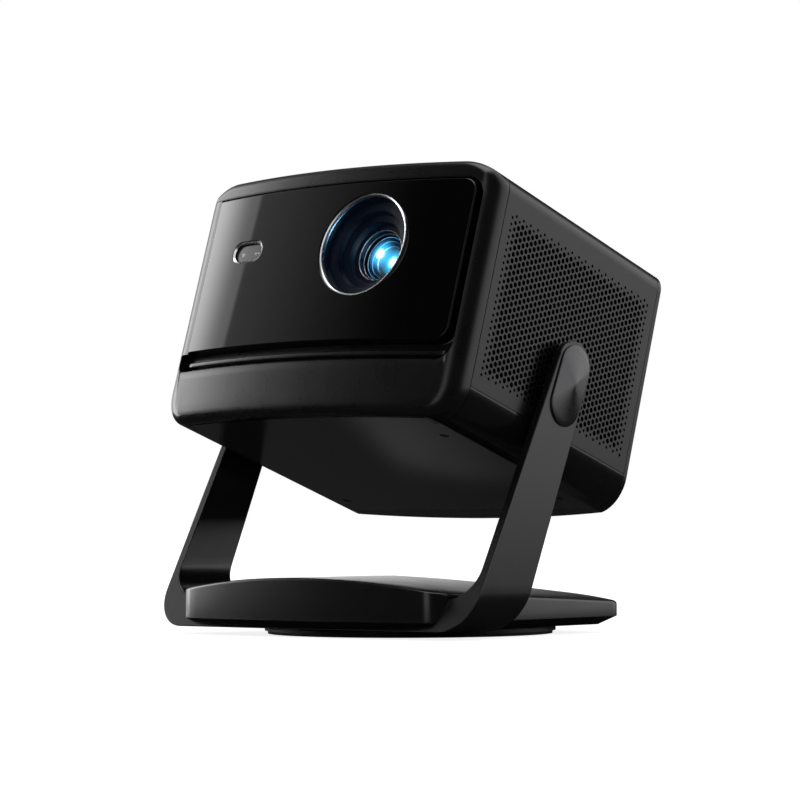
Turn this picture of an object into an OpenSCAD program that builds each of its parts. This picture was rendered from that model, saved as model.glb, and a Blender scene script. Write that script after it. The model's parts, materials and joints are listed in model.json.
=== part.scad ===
// Home projector: a box head that tilts in a yoke, on a base that swivels on a round foot.
// Origin: the middle of the foot's underside. +Z up, the lens looks towards -Y, +X to a viewer's right.
// The head is drawn level about its tilt axis, then turned nose-up by rest_tilt.

/* [Head] */
// Width of the head
head_w = 237; // [225:1:250]
// Tilt axis forward to the joint between shell and front bezel
head_front = 81.3; // [76:0.1:90]
// Tilt axis back to the joint between shell and rear cover
head_rear = 81.6; // [79:0.1:90]
// Tilt axis up to the top face
head_top = 110; // [108:0.1:114]
// Tilt axis down to the underside
head_bottom = 53.4; // [52:0.1:58]
// Radius of the long upper edges, next to the sides
top_r = 13; // [10:0.5:15]
// Radius of the flatter shoulder above them
shoulder_r = 40; // [30:1:50]
// Radius of the long lower edges
bottom_r = 22; // [16:0.5:22]
// Height of the crease where the flat underside cuts the lower edges' round
crease = 0.5; // [0.3:0.1:1]
// Wall of the plastic casings
wall = 2.6; // [2:0.1:3]
// Tilt axis down to the seam between shell and bottom cover
seam_drop = 30.6; // [29:0.1:31]
// Width of the seams between casings
seam_gap = 0.3; // [0.2:0.05:0.4]
// Thickness of the rear cover
rear_cover_t = 3.4; // [3:0.1:5]
// Bulge of the rear cover
rear_bulge_h = 14.6; // [10:0.1:16]
// Thickness of the speaker cloth behind the side walls
cloth_t = 0.6; // [0.4:0.1:0.8]

/* [Front] */
// Depth of the bezel at its sides, from the joint to the face
bezel_depth = 16.2; // [15:0.1:20]
// Plan radius of the bulging front
face_r = 630; // [500:10:900]
// Radius of the bezel's upright corners
bezel_corner_r = 14; // [9:0.5:16]
// Radius of the bezel's upper front edge
upper_edge_r = 5; // [3:0.5:6]
// Radius of the bezel's lower front edge
lower_edge_r = 7; // [5:0.5:8]
// Groove between the bezel's lower edge and the underside
lower_groove = 1.2; // [0.6:0.1:2]
// Head's right side to the right end of the glossy front panel
panel_right = 11.7; // [11.5:0.1:18.5]
// Head's left side to the left end of the glossy front panel
panel_left = 7.1; // [7:0.1:12.5]
// Tilt axis up to the panel's upper edge
panel_top = 96.9; // [94:0.1:98]
// Tilt axis down to the panel's lower edge
panel_bottom = 7.1; // [5:0.1:9]
// Thickness of the front panel
panel_t = 8; // [6:0.1:9]
// How far the panel stands proud of the bezel
panel_proud = 1.2; // [0.4:0.1:1.6]
// Radius of the panel's right corners
panel_corner_r = 9; // [5:0.5:12]
// Radius of the panel's left corners
panel_left_r = 2; // [1:0.5:4]
// Channel between the panel's right end and the bezel
channel = 3.8; // [2:0.1:4]
// Gap between the panel's upper edge and the bezel
panel_top_gap = 1.1; // [0.6:0.1:1.5]
// Tilt axis down to the lip under the panel's groove
lip_drop = 19.4; // [17:0.1:21]
// Thickness of the wall behind the panel
floor_t = 2.5; // [2:0.1:3]
// Height of the bar inside the groove
ledge_h = 3.6; // [2.5:0.1:4.5]
// How far the bar stands off the groove's floor
ledge_d = 3.4; // [2:0.1:4]

/* [Lens] */
// Lens axis to the right of the head's middle
lens_x = 32.3; // [28:0.1:36]
// Lens axis above the tilt axis
lens_z = 55.5; // [53:0.1:58]
// Radius of the opening in the panel
lens_hole_r = 33.4; // [32.8:0.1:35]
// Width of the bright ring in the opening
trim_w = 1.3; // [1:0.1:1.8]
// Radius of the front glass
front_glass_r = 16; // [14:0.1:16.5]
// Radius of the rear glass
rear_glass_r = 12; // [10:0.1:13]
// Wall of the lens barrel
barrel_wall = 3; // [2.6:0.1:3.6]
// Depth of the front glass behind the face
glass_depth = 21; // [19:0.5:24]
// Teeth on the focus ring
ring_teeth = 50; // [46:2:54]
// Teeth on the focus pinion
pinion_teeth = 12; // [10:1:14]
// Gear module of the focus drive
gear_m = 1; // [0.9:0.05:1.1]
// Face width of the focus ring
ring_w = 7; // [5:0.5:9]
// Radial running clearance of shafts and rings
run_fit = 0.05; // [0.02:0.01:0.08]

/* [Sensors] */
// Sensor window left of the head's middle
sensor_x = 65.6; // [60:0.1:66]
// Sensor window above the tilt axis
sensor_z = 57.7; // [50:0.1:65]
// Length of the sensor window
sensor_l = 27.2; // [24:0.1:30]
// Height of the sensor window
sensor_h = 14.4; // [12:0.1:18]
// Depth of the sensor window's recess
sensor_recess = 2.4; // [1.5:0.1:4]

/* [Stand] */
// Tilt axis above the table
pivot_h = 154.5; // [150:0.5:170]
// Nose-up angle of the head as drawn
rest_tilt = 18; // [0:1:25]
// Gap between the head's side and an arm
arm_gap = 4.3; // [3:0.1:6]
// Thickness of an arm
arm_t = 5.2; // [4.5:0.1:8]
// Radius of an arm's rounded upper end
arm_end_r = 16.2; // [15.5:0.1:18]
// Forward lean of the yoke from upright, front edge
lean_front = 28.9; // [27:0.1:30]
// Forward lean of the yoke from upright, rear edge
lean_rear = 24.7; // [24:0.1:26]
// Height of the yoke's cross bar above its underside
bar_h = 19.5; // [17:0.5:20]
// Outer radius of the yoke's lower corners
yoke_outer_r = 23; // [20:0.5:26]
// Inner radius of the yoke's lower corners
yoke_inner_r = 19; // [14:0.5:20]
// Radius of the tilt shafts
shaft_r = 7; // [6:0.1:8]
// Wall of the tilt bushes
bush_wall = 3; // [2.4:0.1:3.5]
// Rise of the pivot cap's shallow cone
cap_rise = 3; // [2:0.1:4]
// Thickness of the pivot cap's rim
cap_rim = 1.2; // [0.8:0.1:1.6]
// Inset of the pivot cap from the arm's edge
cap_inset = 2.4; // [1.5:0.1:3]

/* [Base] */
// Width of the base
base_w = 212; // [200:1:216]
// Swivel axis forward to the middle of the front edge
base_front = 112; // [108:1:118]
// Swivel axis back to the middle of the rear edge
base_rear = 100; // [95:1:105]
// Bulge of the front edge
front_bulge = 10; // [6:1:16]
// Bulge of the rear edge
rear_bulge = 16; // [8:1:20]
// Radius of the base's upright corners
base_corner_r = 15; // [10:1:20]
// Height of the base's crown above the table, at the front
base_crown = 36.7; // [35.5:0.1:40]
// Radius of the crown across the base
crown_r = 657; // [600:1:900]
// Slope of the rear part of the base
base_slope = 5.1; // [4:0.1:5.5]
// Swivel axis to the line where the slope starts
slope_start = -15; // [-25:1:-5]
// Wall of the base cover
base_wall = 2.5; // [2:0.1:3]
// Underside of the base above the table
base_z = 5.2; // [5:0.1:6]
// Thickness of the base plate
plate_t = 5.8; // [5:0.1:6.5]
// Inset of the chamfer under the base
plate_inset = 10; // [6:1:12]
// Radius of the foot disc
foot_r = 92.6; // [85:0.1:94]
// Thickness of the foot's rubber ring
rubber_t = 2; // [1.5:0.1:2.4]
// Width of the foot's rubber ring
rubber_w = 13; // [8:1:16]
// Radius of the swivel spindle
spindle_r = 9; // [8:0.1:11]
// Height of the slip ring between foot and base
slip_t = 0.6; // [0.4:0.1:0.8]

/* [Inside] */
// Thickness of the sheet-metal chassis
chassis_t = 2; // [1.5:0.1:2.5]
// Height of the chassis above the bottom cover's inside
chassis_lift = 5.5; // [5.2:0.1:6.5]
// Side of a fan's frame
fan_side = 75; // [70:1:76]
// Thickness of a fan's frame
fan_t = 15; // [13:0.5:16]
// Half the distance between the fans' axes
fan_half_span = 40; // [39:0.5:44]
// Fans' axes above the tilt axis
fan_z = 34; // [32:0.5:36]
// Blades on a fan
fan_blades = 7; // [5:1:9]
// Width of the optical engine
engine_w = 64; // [56:1:66]
// Depth of the optical engine
engine_d = 66; // [60:1:68]
// Fins on the heat sink
fins = 14; // [8:1:16]
// Travel of the power button
button_travel = 1; // [0.8:0.1:1.5]
// Radius of the power button
button_r = 6; // [5:0.1:7]

/* [Hidden] */
$fn = 96;
BIG = 400;             // longer than any cut needs to be
EPS = 0.01;            // makes a cut run past its face
ARC = 720;             // segments on very large arcs

// Head, about the tilt axis
half_w = head_w / 2;
face_end = head_front + bezel_depth;
face_c = face_r - face_end - (face_r - sqrt(pow(face_r, 2) - pow(half_w - bezel_corner_r, 2)));
panel_x1 = half_w - panel_right;
panel_x0 = half_w - panel_left;      // to the left of the middle
inner_half_w = half_w - wall;
inner_bottom = head_bottom - wall;
shoulder_angle = 60;                 // where the upper edge turns into the shoulder
rear_y = head_rear + seam_gap;
bay_d = 6;
rear_r = (pow(half_w, 2) + pow(rear_bulge_h, 2)) / (2 * rear_bulge_h);
rear_c = rear_y + rear_cover_t + rear_bulge_h - rear_r;
bay_y = rear_y + bay_d;              // floor of the recessed bay for the sockets

// Stand
arm_in = half_w + arm_gap;
arm_out = arm_in + arm_t;
bush_r = shaft_r + run_fit + bush_wall;
lean_mid = (lean_front + lean_rear) / 2;
end_rise = 10;                       // centre of the arm's round end above the tilt axis
end_y = end_rise * tan(lean_mid) - 1.2;
yoke_z = base_z - 0.2;
bar_top = yoke_z + bar_h;
plate_top = base_z + plate_t;
slot_clear = 0.3;

// ---------------------------------------------------------------- helpers

// Extrudes a figure drawn in x and z from y0 to y1
module along_y(y0, y1) translate([0, y1, 0]) rotate([90, 0, 0]) linear_extrude(y1 - y0) children();

// Extrudes a figure drawn in y and z from x0 to x1
module along_x(x0, x1) translate([x0, 0, 0]) rotate([90, 0, 90]) linear_extrude(x1 - x0) children();

// Round bar along y
module rod_y(r, y0, y1) translate([0, y1, 0]) rotate([90, 0, 0]) cylinder(h = y1 - y0, r = r);

// Round bar along x
module rod_x(r, x0, x1) translate([x0, 0, 0]) rotate([0, 90, 0]) cylinder(h = x1 - x0, r = r);

// Box from one corner to the other
module block(a, b) translate(a) cube(b - a);

// Rectangle x0..x1, z0..z1 with its own radius for the lower and the upper corners
module soft_rect(x0, x1, z0, z1, rb, rt) {
    translate([x0, z0 + rb]) square([x1 - x0, z1 - rt - z0 - rb]);
    translate([x0 + rb, z0]) square([x1 - x0 - 2 * rb, rb + EPS]);
    translate([x0 + rt, z1 - rt - EPS]) square([x1 - x0 - 2 * rt, rt + EPS]);
    for (x = [x0 + rb, x1 - rb]) translate([x, z0 + rb]) circle(rb);
    for (x = [x0 + rt, x1 - rt]) translate([x, z1 - rt]) circle(rt);
}

// Slot with round ends, long in x
module pill(l, h) {
    square([l - h, h], center = true);
    for (s = [-1, 1]) translate([s * (l - h) / 2, 0]) circle(h / 2);
}

// Copies to the right and to the left
module both_sides() for (s = [0, 1]) mirror([s, 0, 0]) children();

// Puts what is drawn about the tilt axis in its place
module in_head() translate([0, 0, pivot_h]) rotate([-rest_tilt, 0, 0]) children();

// Puts what is drawn about the lens axis in the head
module on_lens() translate([lens_x, 0, lens_z]) children();

// ---------------------------------------------------------------- foot and base

spindle_top = plate_top + 6;
nut_h = 4;
glide_r = 66;
glide_w = 12;
swivel_wall = 3;
foot_top = base_z - slip_t;

module foot_disc() color("#1b1b1c") difference() {
    union() {
        translate([0, 0, rubber_t]) cylinder(h = foot_top - rubber_t, r = foot_r - 1);
        translate([0, 0, rubber_t]) cylinder(h = foot_top - rubber_t - 0.8, r = foot_r);
    }
    translate([0, 0, rubber_t - EPS]) cylinder(h = BIG, r = spindle_r);
}

module foot_rubber_ring() color("#0c0c0c") difference() {
    cylinder(h = rubber_t, r = foot_r - 2);
    translate([0, 0, -EPS]) cylinder(h = BIG, r = foot_r - 2 - rubber_w);
}

module slip_ring() color("#d9d9d4") translate([0, 0, foot_top]) difference() {
    cylinder(h = slip_t - run_fit, r = glide_r);
    translate([0, 0, -EPS]) cylinder(h = BIG, r = glide_r - glide_w);
}

module swivel_spindle() color("#b9bcc0") {
    translate([0, 0, rubber_t]) cylinder(h = spindle_top + nut_h - rubber_t, r = spindle_r);
}

module spindle_nut() color("#8f9296") translate([0, 0, spindle_top + run_fit]) difference() {
    cylinder(h = nut_h - run_fit, r = spindle_r + 6, $fn = 6);
    translate([0, 0, -EPS]) cylinder(h = BIG, r = spindle_r);
}

module swivel_bush() color("#c9a24a") difference() {
    union() {
        translate([0, 0, base_z]) cylinder(h = spindle_top - base_z, r = spindle_r + run_fit + swivel_wall);
        translate([0, 0, plate_top]) cylinder(h = spindle_top - plate_top, r = spindle_r + swivel_wall + 5);
    }
    cylinder(h = BIG, r = spindle_r + run_fit);
}

// Plan of the base, drawn in by g
module base_plan(g = 0) {
    hw = base_w / 2 - g;
    fr = (pow(base_w / 2, 2) + pow(front_bulge, 2)) / (2 * front_bulge) - g;
    rr = (pow(base_w / 2, 2) + pow(rear_bulge, 2)) / (2 * rear_bulge) - g;
    r = base_corner_r - g / 2;
    front = base_front - g;
    rear = base_rear - g;
    fy = -front + fr - sqrt(pow(fr - r, 2) - pow(hw - r, 2));
    ry = rear - rr + sqrt(pow(rr - r, 2) - pow(hw - r, 2));
    translate([-hw, fy]) square([2 * hw, ry - fy]);
    intersection() {
        translate([0, fr - front]) circle(fr, $fn = ARC);
        translate([-BIG, -BIG]) square([2 * BIG, BIG]);
        square([2 * (hw - r) * fr / (fr - r), BIG], center = true);
    }
    intersection() {
        translate([0, rear - rr]) circle(rr, $fn = ARC);
        translate([-BIG, 0]) square([2 * BIG, BIG]);
        square([2 * (hw - r) * rr / (rr - r), BIG], center = true);
    }
    for (s = [-1, 1]) {
        translate([s * (hw - r), fy]) circle(r);
        translate([s * (hw - r), ry]) circle(r);
    }
}

// Everything under the base's crowned top, lowered by g
module under_crown(g = 0) {
    along_y(-BIG, BIG) translate([0, base_crown - crown_r]) circle(crown_r - g, $fn = ARC);
}

module under_slope(g = 0) {
    translate([0, slope_start, base_crown]) rotate([-base_slope, 0, 0])
        along_y(-BIG, BIG) translate([0, -crown_r]) circle(crown_r - g, $fn = ARC);
}

// The yoke's straight band seen from the side: y and z, grown by g
module yoke_band(g = 0) {
    drop = pivot_h - yoke_z + 5;
    r = arm_end_r + g - EPS;         // so that its edges cross the arm's round end
    top_front = [end_y - r * cos(lean_front), end_rise + r * sin(lean_front)];
    top_rear = [end_y + r * cos(lean_rear), end_rise - r * sin(lean_rear)];
    translate([0, pivot_h]) polygon([
        top_front, top_rear,
        [top_rear[0] - (drop + top_rear[1]) * tan(lean_rear), -drop],
        [top_front[0] - (drop + top_front[1]) * tan(lean_front), -drop]
    ]);
}

module yoke_front_view() difference() {
    soft_rect(-arm_out, arm_out, yoke_z, pivot_h + 2 * arm_end_r + end_rise, yoke_outer_r, 1);
    soft_rect(-arm_in, arm_in, bar_top, BIG, yoke_inner_r, 1);
}

bar_y = -(pivot_h - bar_top) * tan(lean_mid) - 2;     // middle of the cross bar
bolt_at = [-70, -25, 25, 70];
bolt_r = 2;
bolt_head_r = 4;
bolt_head_h = 2.4;
bolt_in = 8.5;                       // reach of the bolts into the yoke

module yoke() color("#161617") difference() {
    intersection() {
        along_y(-BIG, BIG) yoke_front_view();
        union() {
            along_x(-BIG, BIG) yoke_band();
            translate([0, end_y, pivot_h + end_rise]) rod_x(arm_end_r, -BIG, BIG);
        }
    }
    block([-base_w / 2 - slot_clear, -BIG, 0], [base_w / 2 + slot_clear, BIG, plate_top]);
    translate([0, 0, pivot_h]) rod_x(bush_r, -BIG, BIG);
    for (x = bolt_at) translate([x, bar_y, 0]) cylinder(h = plate_top + bolt_in + 0.5, r = bolt_r);
}

module yoke_screws() color("#8f9296") for (x = bolt_at) translate([x, bar_y, base_z]) {
    cylinder(h = bolt_head_h, r = bolt_head_r);
    cylinder(h = plate_t + bolt_in, r = bolt_r);
}

module base_plate() color("#141415") difference() {
    hull() {
        translate([0, 0, base_z]) linear_extrude(0.2) base_plan(plate_inset, $fn = 48);
        translate([0, 0, plate_top - 0.4]) linear_extrude(0.4) base_plan();
    }
    translate([0, 0, base_z - EPS]) cylinder(h = BIG, r = spindle_r + run_fit + swivel_wall);
    for (x = bolt_at) translate([x, bar_y, base_z - EPS]) {
        cylinder(h = bolt_head_h + EPS, r = bolt_head_r);
        cylinder(h = BIG, r = bolt_r);
    }
}

module base_cover() color("#19191a") difference() {
    intersection() {
        translate([0, 0, plate_top]) linear_extrude(BIG / 4) base_plan();
        under_crown();
        under_slope();
    }
    intersection() {
        translate([0, 0, plate_top - 1]) linear_extrude(BIG / 4) base_plan(base_wall);
        under_crown(base_wall);
        under_slope(base_wall);
    }
    intersection() {
        along_x(-BIG, BIG) yoke_band(slot_clear);
        block([-BIG, -BIG, 0], [BIG, BIG, bar_top + slot_clear]);
    }
}

// ---------------------------------------------------------------- tilt pivots

shaft_in = half_w - 15.5;
shaft_end = arm_out - 1.2;
ear_out = shaft_in + 6;
collar_t = 3;

module tilt_bush() translate([0, 0, pivot_h]) difference() {
    union() {
        rod_x(bush_r, arm_in - EPS, arm_out);
        rod_x(bush_r + 3, half_w + 0.5, arm_in);
    }
    rod_x(shaft_r + run_fit, 0, BIG);
}

module tilt_bush_right() color("#2a2a2b") tilt_bush();
module tilt_bush_left() color("#2a2a2b") mirror([1, 0, 0]) tilt_bush();

// Outline of the pivot cap, seen from the side
cap_r = arm_end_r - cap_inset;
cap_span = 25;
cap_bevel = 0.5;
module cap_outline(g = 0) {
    lower = [end_y - cap_span * sin(lean_rear), end_rise - cap_span * cos(lean_rear)];
    translate([end_y, end_rise]) circle(cap_r - g);
    translate(lower) circle(cap_r - g);
    translate([end_y, end_rise]) rotate(-90 - lean_rear)
        translate([0, EPS + g - cap_r]) square([cap_span, 2 * (cap_r - g - EPS)]);
}

// Rim, then a low cone whose point stands over the tilt axis
module pivot_cap() translate([0, 0, pivot_h]) {
    along_x(arm_out, arm_out + cap_rim) cap_outline();
    hull() {
        along_x(arm_out + cap_rim / 2, arm_out + cap_rim + EPS) cap_outline(cap_bevel, $fn = 32);
        rod_x(0.4, arm_out, arm_out + cap_rim + cap_rise, $fn = 16);
    }
}

module pivot_cap_right() color("#232324") pivot_cap();
module pivot_cap_left() color("#232324") mirror([1, 0, 0]) pivot_cap();

module tilt_shaft() in_head() difference() {
    union() {
        rod_x(shaft_r, shaft_in, shaft_end);
        rod_x(shaft_r + 5, shaft_in, shaft_in + collar_t);
    }
    rod_x(2.5, shaft_end - 10, BIG);
}

module tilt_shaft_right() color("#9a9da1") tilt_shaft();
module tilt_shaft_left() color("#9a9da1") mirror([1, 0, 0]) tilt_shaft();

// ---------------------------------------------------------------- head casings

// Centre of the upper edge's round: x and z
upper_c = [half_w - top_r, head_top - shoulder_r + (shoulder_r - top_r) * sin(shoulder_angle)];
shoulder_c = upper_c - (shoulder_r - top_r) * [cos(shoulder_angle), sin(shoulder_angle)];
lower_c = [half_w - bottom_r, bottom_r - crease - head_bottom];

// Cross-section of the head in x and z, drawn in by g
module head_section(g = 0) {
    intersection() {
        union() for (s = [-1, 1]) {
            polygon([
                [0, -head_bottom + g], [s * lower_c[0], -head_bottom + g - crease],
                [s * lower_c[0], lower_c[1]], [s * (half_w - g), lower_c[1]],
                [s * (half_w - g), upper_c[1]], [s * upper_c[0], upper_c[1]],
                [s * shoulder_c[0], shoulder_c[1]], [s * shoulder_c[0], head_top - g],
                [0, head_top - g]
            ]);
            translate([s * lower_c[0], lower_c[1]]) circle(bottom_r - g);
            translate([s * upper_c[0], upper_c[1]]) circle(top_r - g);
            intersection() {
                translate([s * shoulder_c[0], shoulder_c[1]]) circle(shoulder_r - g, $fn = 180);
                polygon([
                    [s * shoulder_c[0], shoulder_c[1]], [s * upper_c[0], upper_c[1]],
                    [s * (upper_c[0] + half_w * cos(shoulder_angle)), upper_c[1] + half_w * sin(shoulder_angle)],
                    [s * shoulder_c[0], head_top + half_w]
                ]);
            }
        }
        translate([-BIG, -head_bottom + g]) square([2 * BIG, BIG]);
    }
}

module head_tube(y0, y1) difference() {
    along_y(y0, y1) head_section();
    along_y(y0 - 1, y1 + 1) head_section(wall);
}

rear_screw_x = half_w - 11.5;
rear_screw_low = 12.6 - seam_drop;
rear_screw_high = head_top - 26;
rear_screw_spots = [for (x = [-rear_screw_x, rear_screw_x], z = [rear_screw_low, rear_screw_high]) [x, z]];
boss_r = 4;
boss_l = 14;
screw_r = 1.5;
screw_head_r = 3;

// Screw bosses, each joined to the side wall by a rib
module rear_bosses() for (p = rear_screw_spots) translate([p[0], 0, p[1]]) {
    rod_y(boss_r, head_rear - boss_l, head_rear);
    mirror([p[0] < 0 ? 1 : 0, 0, 0])
        block([0, head_rear - boss_l, -boss_r / 2], [inner_half_w - abs(p[0]) + 1, head_rear, boss_r / 2]);
}

module head_shell() color("#1d1d1e") in_head() difference() {
    union() {
        head_tube(-head_front + seam_gap, head_rear);
        rear_bosses();
    }
    block([-BIG, -BIG, -BIG], [BIG, BIG, -seam_drop + seam_gap / 2]);
    rod_x(shaft_r + 1, -BIG, BIG);
    for (p = rear_screw_spots) translate([p[0], 0, p[1]]) rod_y(screw_r, head_rear - boss_l - 1, BIG);
}

screw_x1 = half_w - 30.5;                       // bottom screws: aside, in front and behind
screw_y0 = 21.3 - head_front;
screw_y1 = head_rear - 21.6;
screw_spots = [for (x = [-screw_x1, screw_x1], y = [screw_y0, screw_y1]) [x, y]];
post_r = 4;
sink_d = 2.2;                                   // counterbore of the bottom screws
sink_head = 0.4;                                // their heads stand this far inside it
sill_x = lower_c[0];                            // the underside reaches under the bezel, this wide
sill_r = face_r - lower_edge_r - 0.2;
chassis_z = -inner_bottom + chassis_lift;       // underside of the chassis
chassis_top = chassis_z + chassis_t;
chassis_rear = head_rear - 15.6;

module bottom_cover() color("#18181a") in_head() difference() {
    union() {
        difference() {
            head_tube(-head_front + seam_gap, head_rear);
            block([-BIG, -BIG, -seam_drop - seam_gap / 2], [BIG, BIG, BIG]);
        }
        intersection() {
            block([-sill_x, -BIG, -head_bottom], [sill_x, -head_front + seam_gap + EPS, -inner_bottom]);
            translate([0, face_c, 0]) cylinder(h = BIG, r = sill_r - lower_groove, center = true, $fn = ARC);
        }
        for (p = screw_spots) translate([p[0], p[1], -inner_bottom - 0.5])
            cylinder(h = chassis_lift + 0.5, r = post_r);
    }
    for (p = screw_spots) translate([p[0], p[1], -head_bottom - EPS]) {
        cylinder(h = BIG, r = screw_r);
        cylinder(h = sink_d + EPS, r = screw_head_r);
    }
}

module bottom_screws() color("#77797c") in_head() for (p = screw_spots)
    translate([p[0], p[1], -head_bottom + sink_head]) {
        cylinder(h = sink_d - sink_head, r = screw_head_r);
        cylinder(h = head_bottom + chassis_top - sink_head + 1.5, r = screw_r);
    }

// Plan of the bezel, drawn in by g: a bulging front with round upright corners
module bezel_plan(g = 0) {
    hw = half_w - g;
    corner = bezel_corner_r - g;
    r = face_r - g;
    tangent_x = (hw - corner) * r / (r - corner);
    corner_y = face_c - sqrt(pow(r - corner, 2) - pow(hw - corner, 2));
    intersection() {
        translate([0, face_c]) circle(r, $fn = ARC);
        translate([-tangent_x, -BIG]) square([2 * tangent_x, BIG]);
    }
    translate([-hw, corner_y]) square([2 * hw, BIG / 2]);
    for (s = [-1, 1]) translate([s * (hw - corner), corner_y]) circle(corner);
}

// A layer of the front, from g_out to g_in behind the bezel's face
module front_layer(g_out, g_in) linear_extrude(BIG, center = true) difference() {
    bezel_plan(g_out);
    bezel_plan(g_in);
}

// Turned about the front's centre of curvature: rounds the upper and lower front edges
module edge_ring() translate([0, face_c, 0]) rotate_extrude($fn = ARC) {
    translate([0, -head_bottom]) square([face_r - lower_edge_r, head_top + head_bottom]);
    translate([face_r / 2, lower_edge_r - head_bottom])
        square([face_r / 2, head_top + head_bottom - upper_edge_r - lower_edge_r]);
    translate([face_r / 2, -head_bottom]) square([face_r / 2 - upper_edge_r, head_top + head_bottom]);
    translate([face_r - upper_edge_r, head_top - upper_edge_r]) circle(upper_edge_r, $fn = 64);
    translate([face_r - lower_edge_r, lower_edge_r - head_bottom]) circle(lower_edge_r, $fn = 64);
}

panel_back = panel_t - panel_proud;            // the panel's back behind the bezel's face
pocket_top = panel_top + panel_top_gap;
ledge_z = -(panel_bottom + lip_drop) / 2 - 0.6;
side_gap = 0.2;

// Outline of the panel or, grown to the bezel's opening, of the pocket around it
module panel_outline(left, right, low, high, right_r) {
    soft_rect(-left, 0, low, high, panel_left_r, panel_left_r);
    soft_rect(-left / 2, right, low, high, right_r, right_r);
}

module bezel_pocket() along_y(-BIG, 0) panel_outline(panel_x0 + side_gap, panel_x1 + channel,
                                                    -lip_drop, pocket_top, panel_corner_r + 2);

module front_bezel() color("#1a1a1b") in_head() difference() {
    union() {
        difference() {
            intersection() {
                linear_extrude(BIG, center = true) bezel_plan();
                edge_ring();
                along_y(-BIG, -head_front) head_section();
            }
            intersection() {
                bezel_pocket();
                front_layer(-5, panel_back);
            }
        }
        intersection() {
            front_layer(panel_back - ledge_d, panel_back + 1);
            along_y(-BIG, 0) translate([0, ledge_z])
                square([2 * panel_x1 - ledge_h, ledge_h], center = true);
        }
    }
    difference() {
        along_y(-BIG, 0) head_section(wall);
        front_layer(-BIG / 4, panel_back + floor_t);
    }
    difference() {
        block([-sill_x - side_gap, -BIG, -BIG], [sill_x + side_gap, 0, -inner_bottom + side_gap]);
        translate([0, face_c, 0]) difference() {
            cylinder(h = BIG, r = face_r + 5, center = true, $fn = ARC);
            cylinder(h = BIG, r = sill_r, center = true, $fn = ARC);
        }
    }
    on_lens() rod_y(lens_hole_r + 1, -BIG, 0);
}

module front_panel() color("#0b0b0d") in_head() difference() {
    intersection() {
        front_layer(-panel_proud, panel_back);
        along_y(-BIG, 0) panel_outline(panel_x0, panel_x1, -panel_bottom, panel_top, panel_corner_r);
    }
    on_lens() rod_y(lens_hole_r, -BIG, 0);
    translate([-sensor_x, 0, sensor_z]) along_y(-BIG, 0) pill(sensor_l, sensor_h);
}

// Three small lenses in the sensor window: offset from its middle and radius
eyes = [[-5, 1.9], [6.2, 1.1], [9.2, 1.1]];
eye_drop = 1.3;
eye_d = 1.6;

module sensor_eyes(proud) for (e = eyes) {
    front = face_at(e[0] - sensor_x, face_r + panel_proud - sensor_recess);
    translate([e[0] - sensor_x, 0, sensor_z - eye_drop]) rod_y(e[1], front - proud, front + eye_d);
}

module sensor_window() color("#131316") in_head() difference() {
    intersection() {
        front_layer(sensor_recess - panel_proud, panel_back);
        translate([-sensor_x, 0, sensor_z]) along_y(-BIG, 0) pill(sensor_l, sensor_h);
    }
    sensor_eyes(5);
}

// y of the front where the radius about its centre of curvature is r
function face_at(x, r) = face_c - sqrt(pow(r, 2) - pow(x, 2));

module sensor_lenses() color("#3a4a66") in_head() sensor_eyes(0.4);

module grille_cloth() in_head() difference() {
    block([inner_half_w - cloth_t, -head_front + 6, -seam_drop + 6],
          [inner_half_w, head_rear - 4, upper_c[1] - 4]);
    rod_x(shaft_r + 1, 0, BIG);
    rear_bosses();
}

module grille_cloth_right() color("#050505") grille_cloth();
module grille_cloth_left() color("#050505") mirror([1, 0, 0]) grille_cloth();

// ---------------------------------------------------------------- rear cover

port_z = chassis_top + 12;          // middle of the row of sockets
vent_slots = 9;
vent_pitch = 7;
vent_h = 3;
vent_r = fan_side / 2 - 4;          // the slots of one fan fill a circle

module rear_vents() for (s = [-1, 1], i = [0 : vent_slots - 1]) {
    rise = (i - (vent_slots - 1) / 2) * vent_pitch;
    translate([s * fan_half_span, 0, fan_z + rise])
        along_y(0, BIG) pill(2 * sqrt(pow(vent_r, 2) - pow(rise, 2)), vent_h);
}

rear_post_r = 5;
fan_post_r = 3.5;
button_x = half_w - 34.5;
button_clear = 0.3;
bay_wall = 2;
port_clear = 0.3;                   // round the audio socket and the inlet

// The row along the back follows the button: inlet, audio, then the sockets as [x, width, height]
inlet_x = button_x - 24;
inlet_r = 6.2;
audio_x = inlet_x - 22;
audio_r = 3.9;
usb_at = [[audio_x - 42, 13.4, 5.8], [audio_x - 20, 13.4, 5.8]];
hdmi_at = [[usb_at[0][0] - 48, 15.2, 5.6], [usb_at[0][0] - 24, 15.2, 5.6]];
bay = [[hdmi_at[0][0] - 14, port_z - 9], [button_x + 11, port_z + 10]];  // low and high corner: x and z
fan_hole = fan_side / 2 - 4.5;

// Everything in front of the bulging back, drawn in by g
module before_back(g = 0) translate([0, rear_c, 0])
    cylinder(h = BIG, r = rear_r - g, center = true, $fn = ARC);

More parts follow.
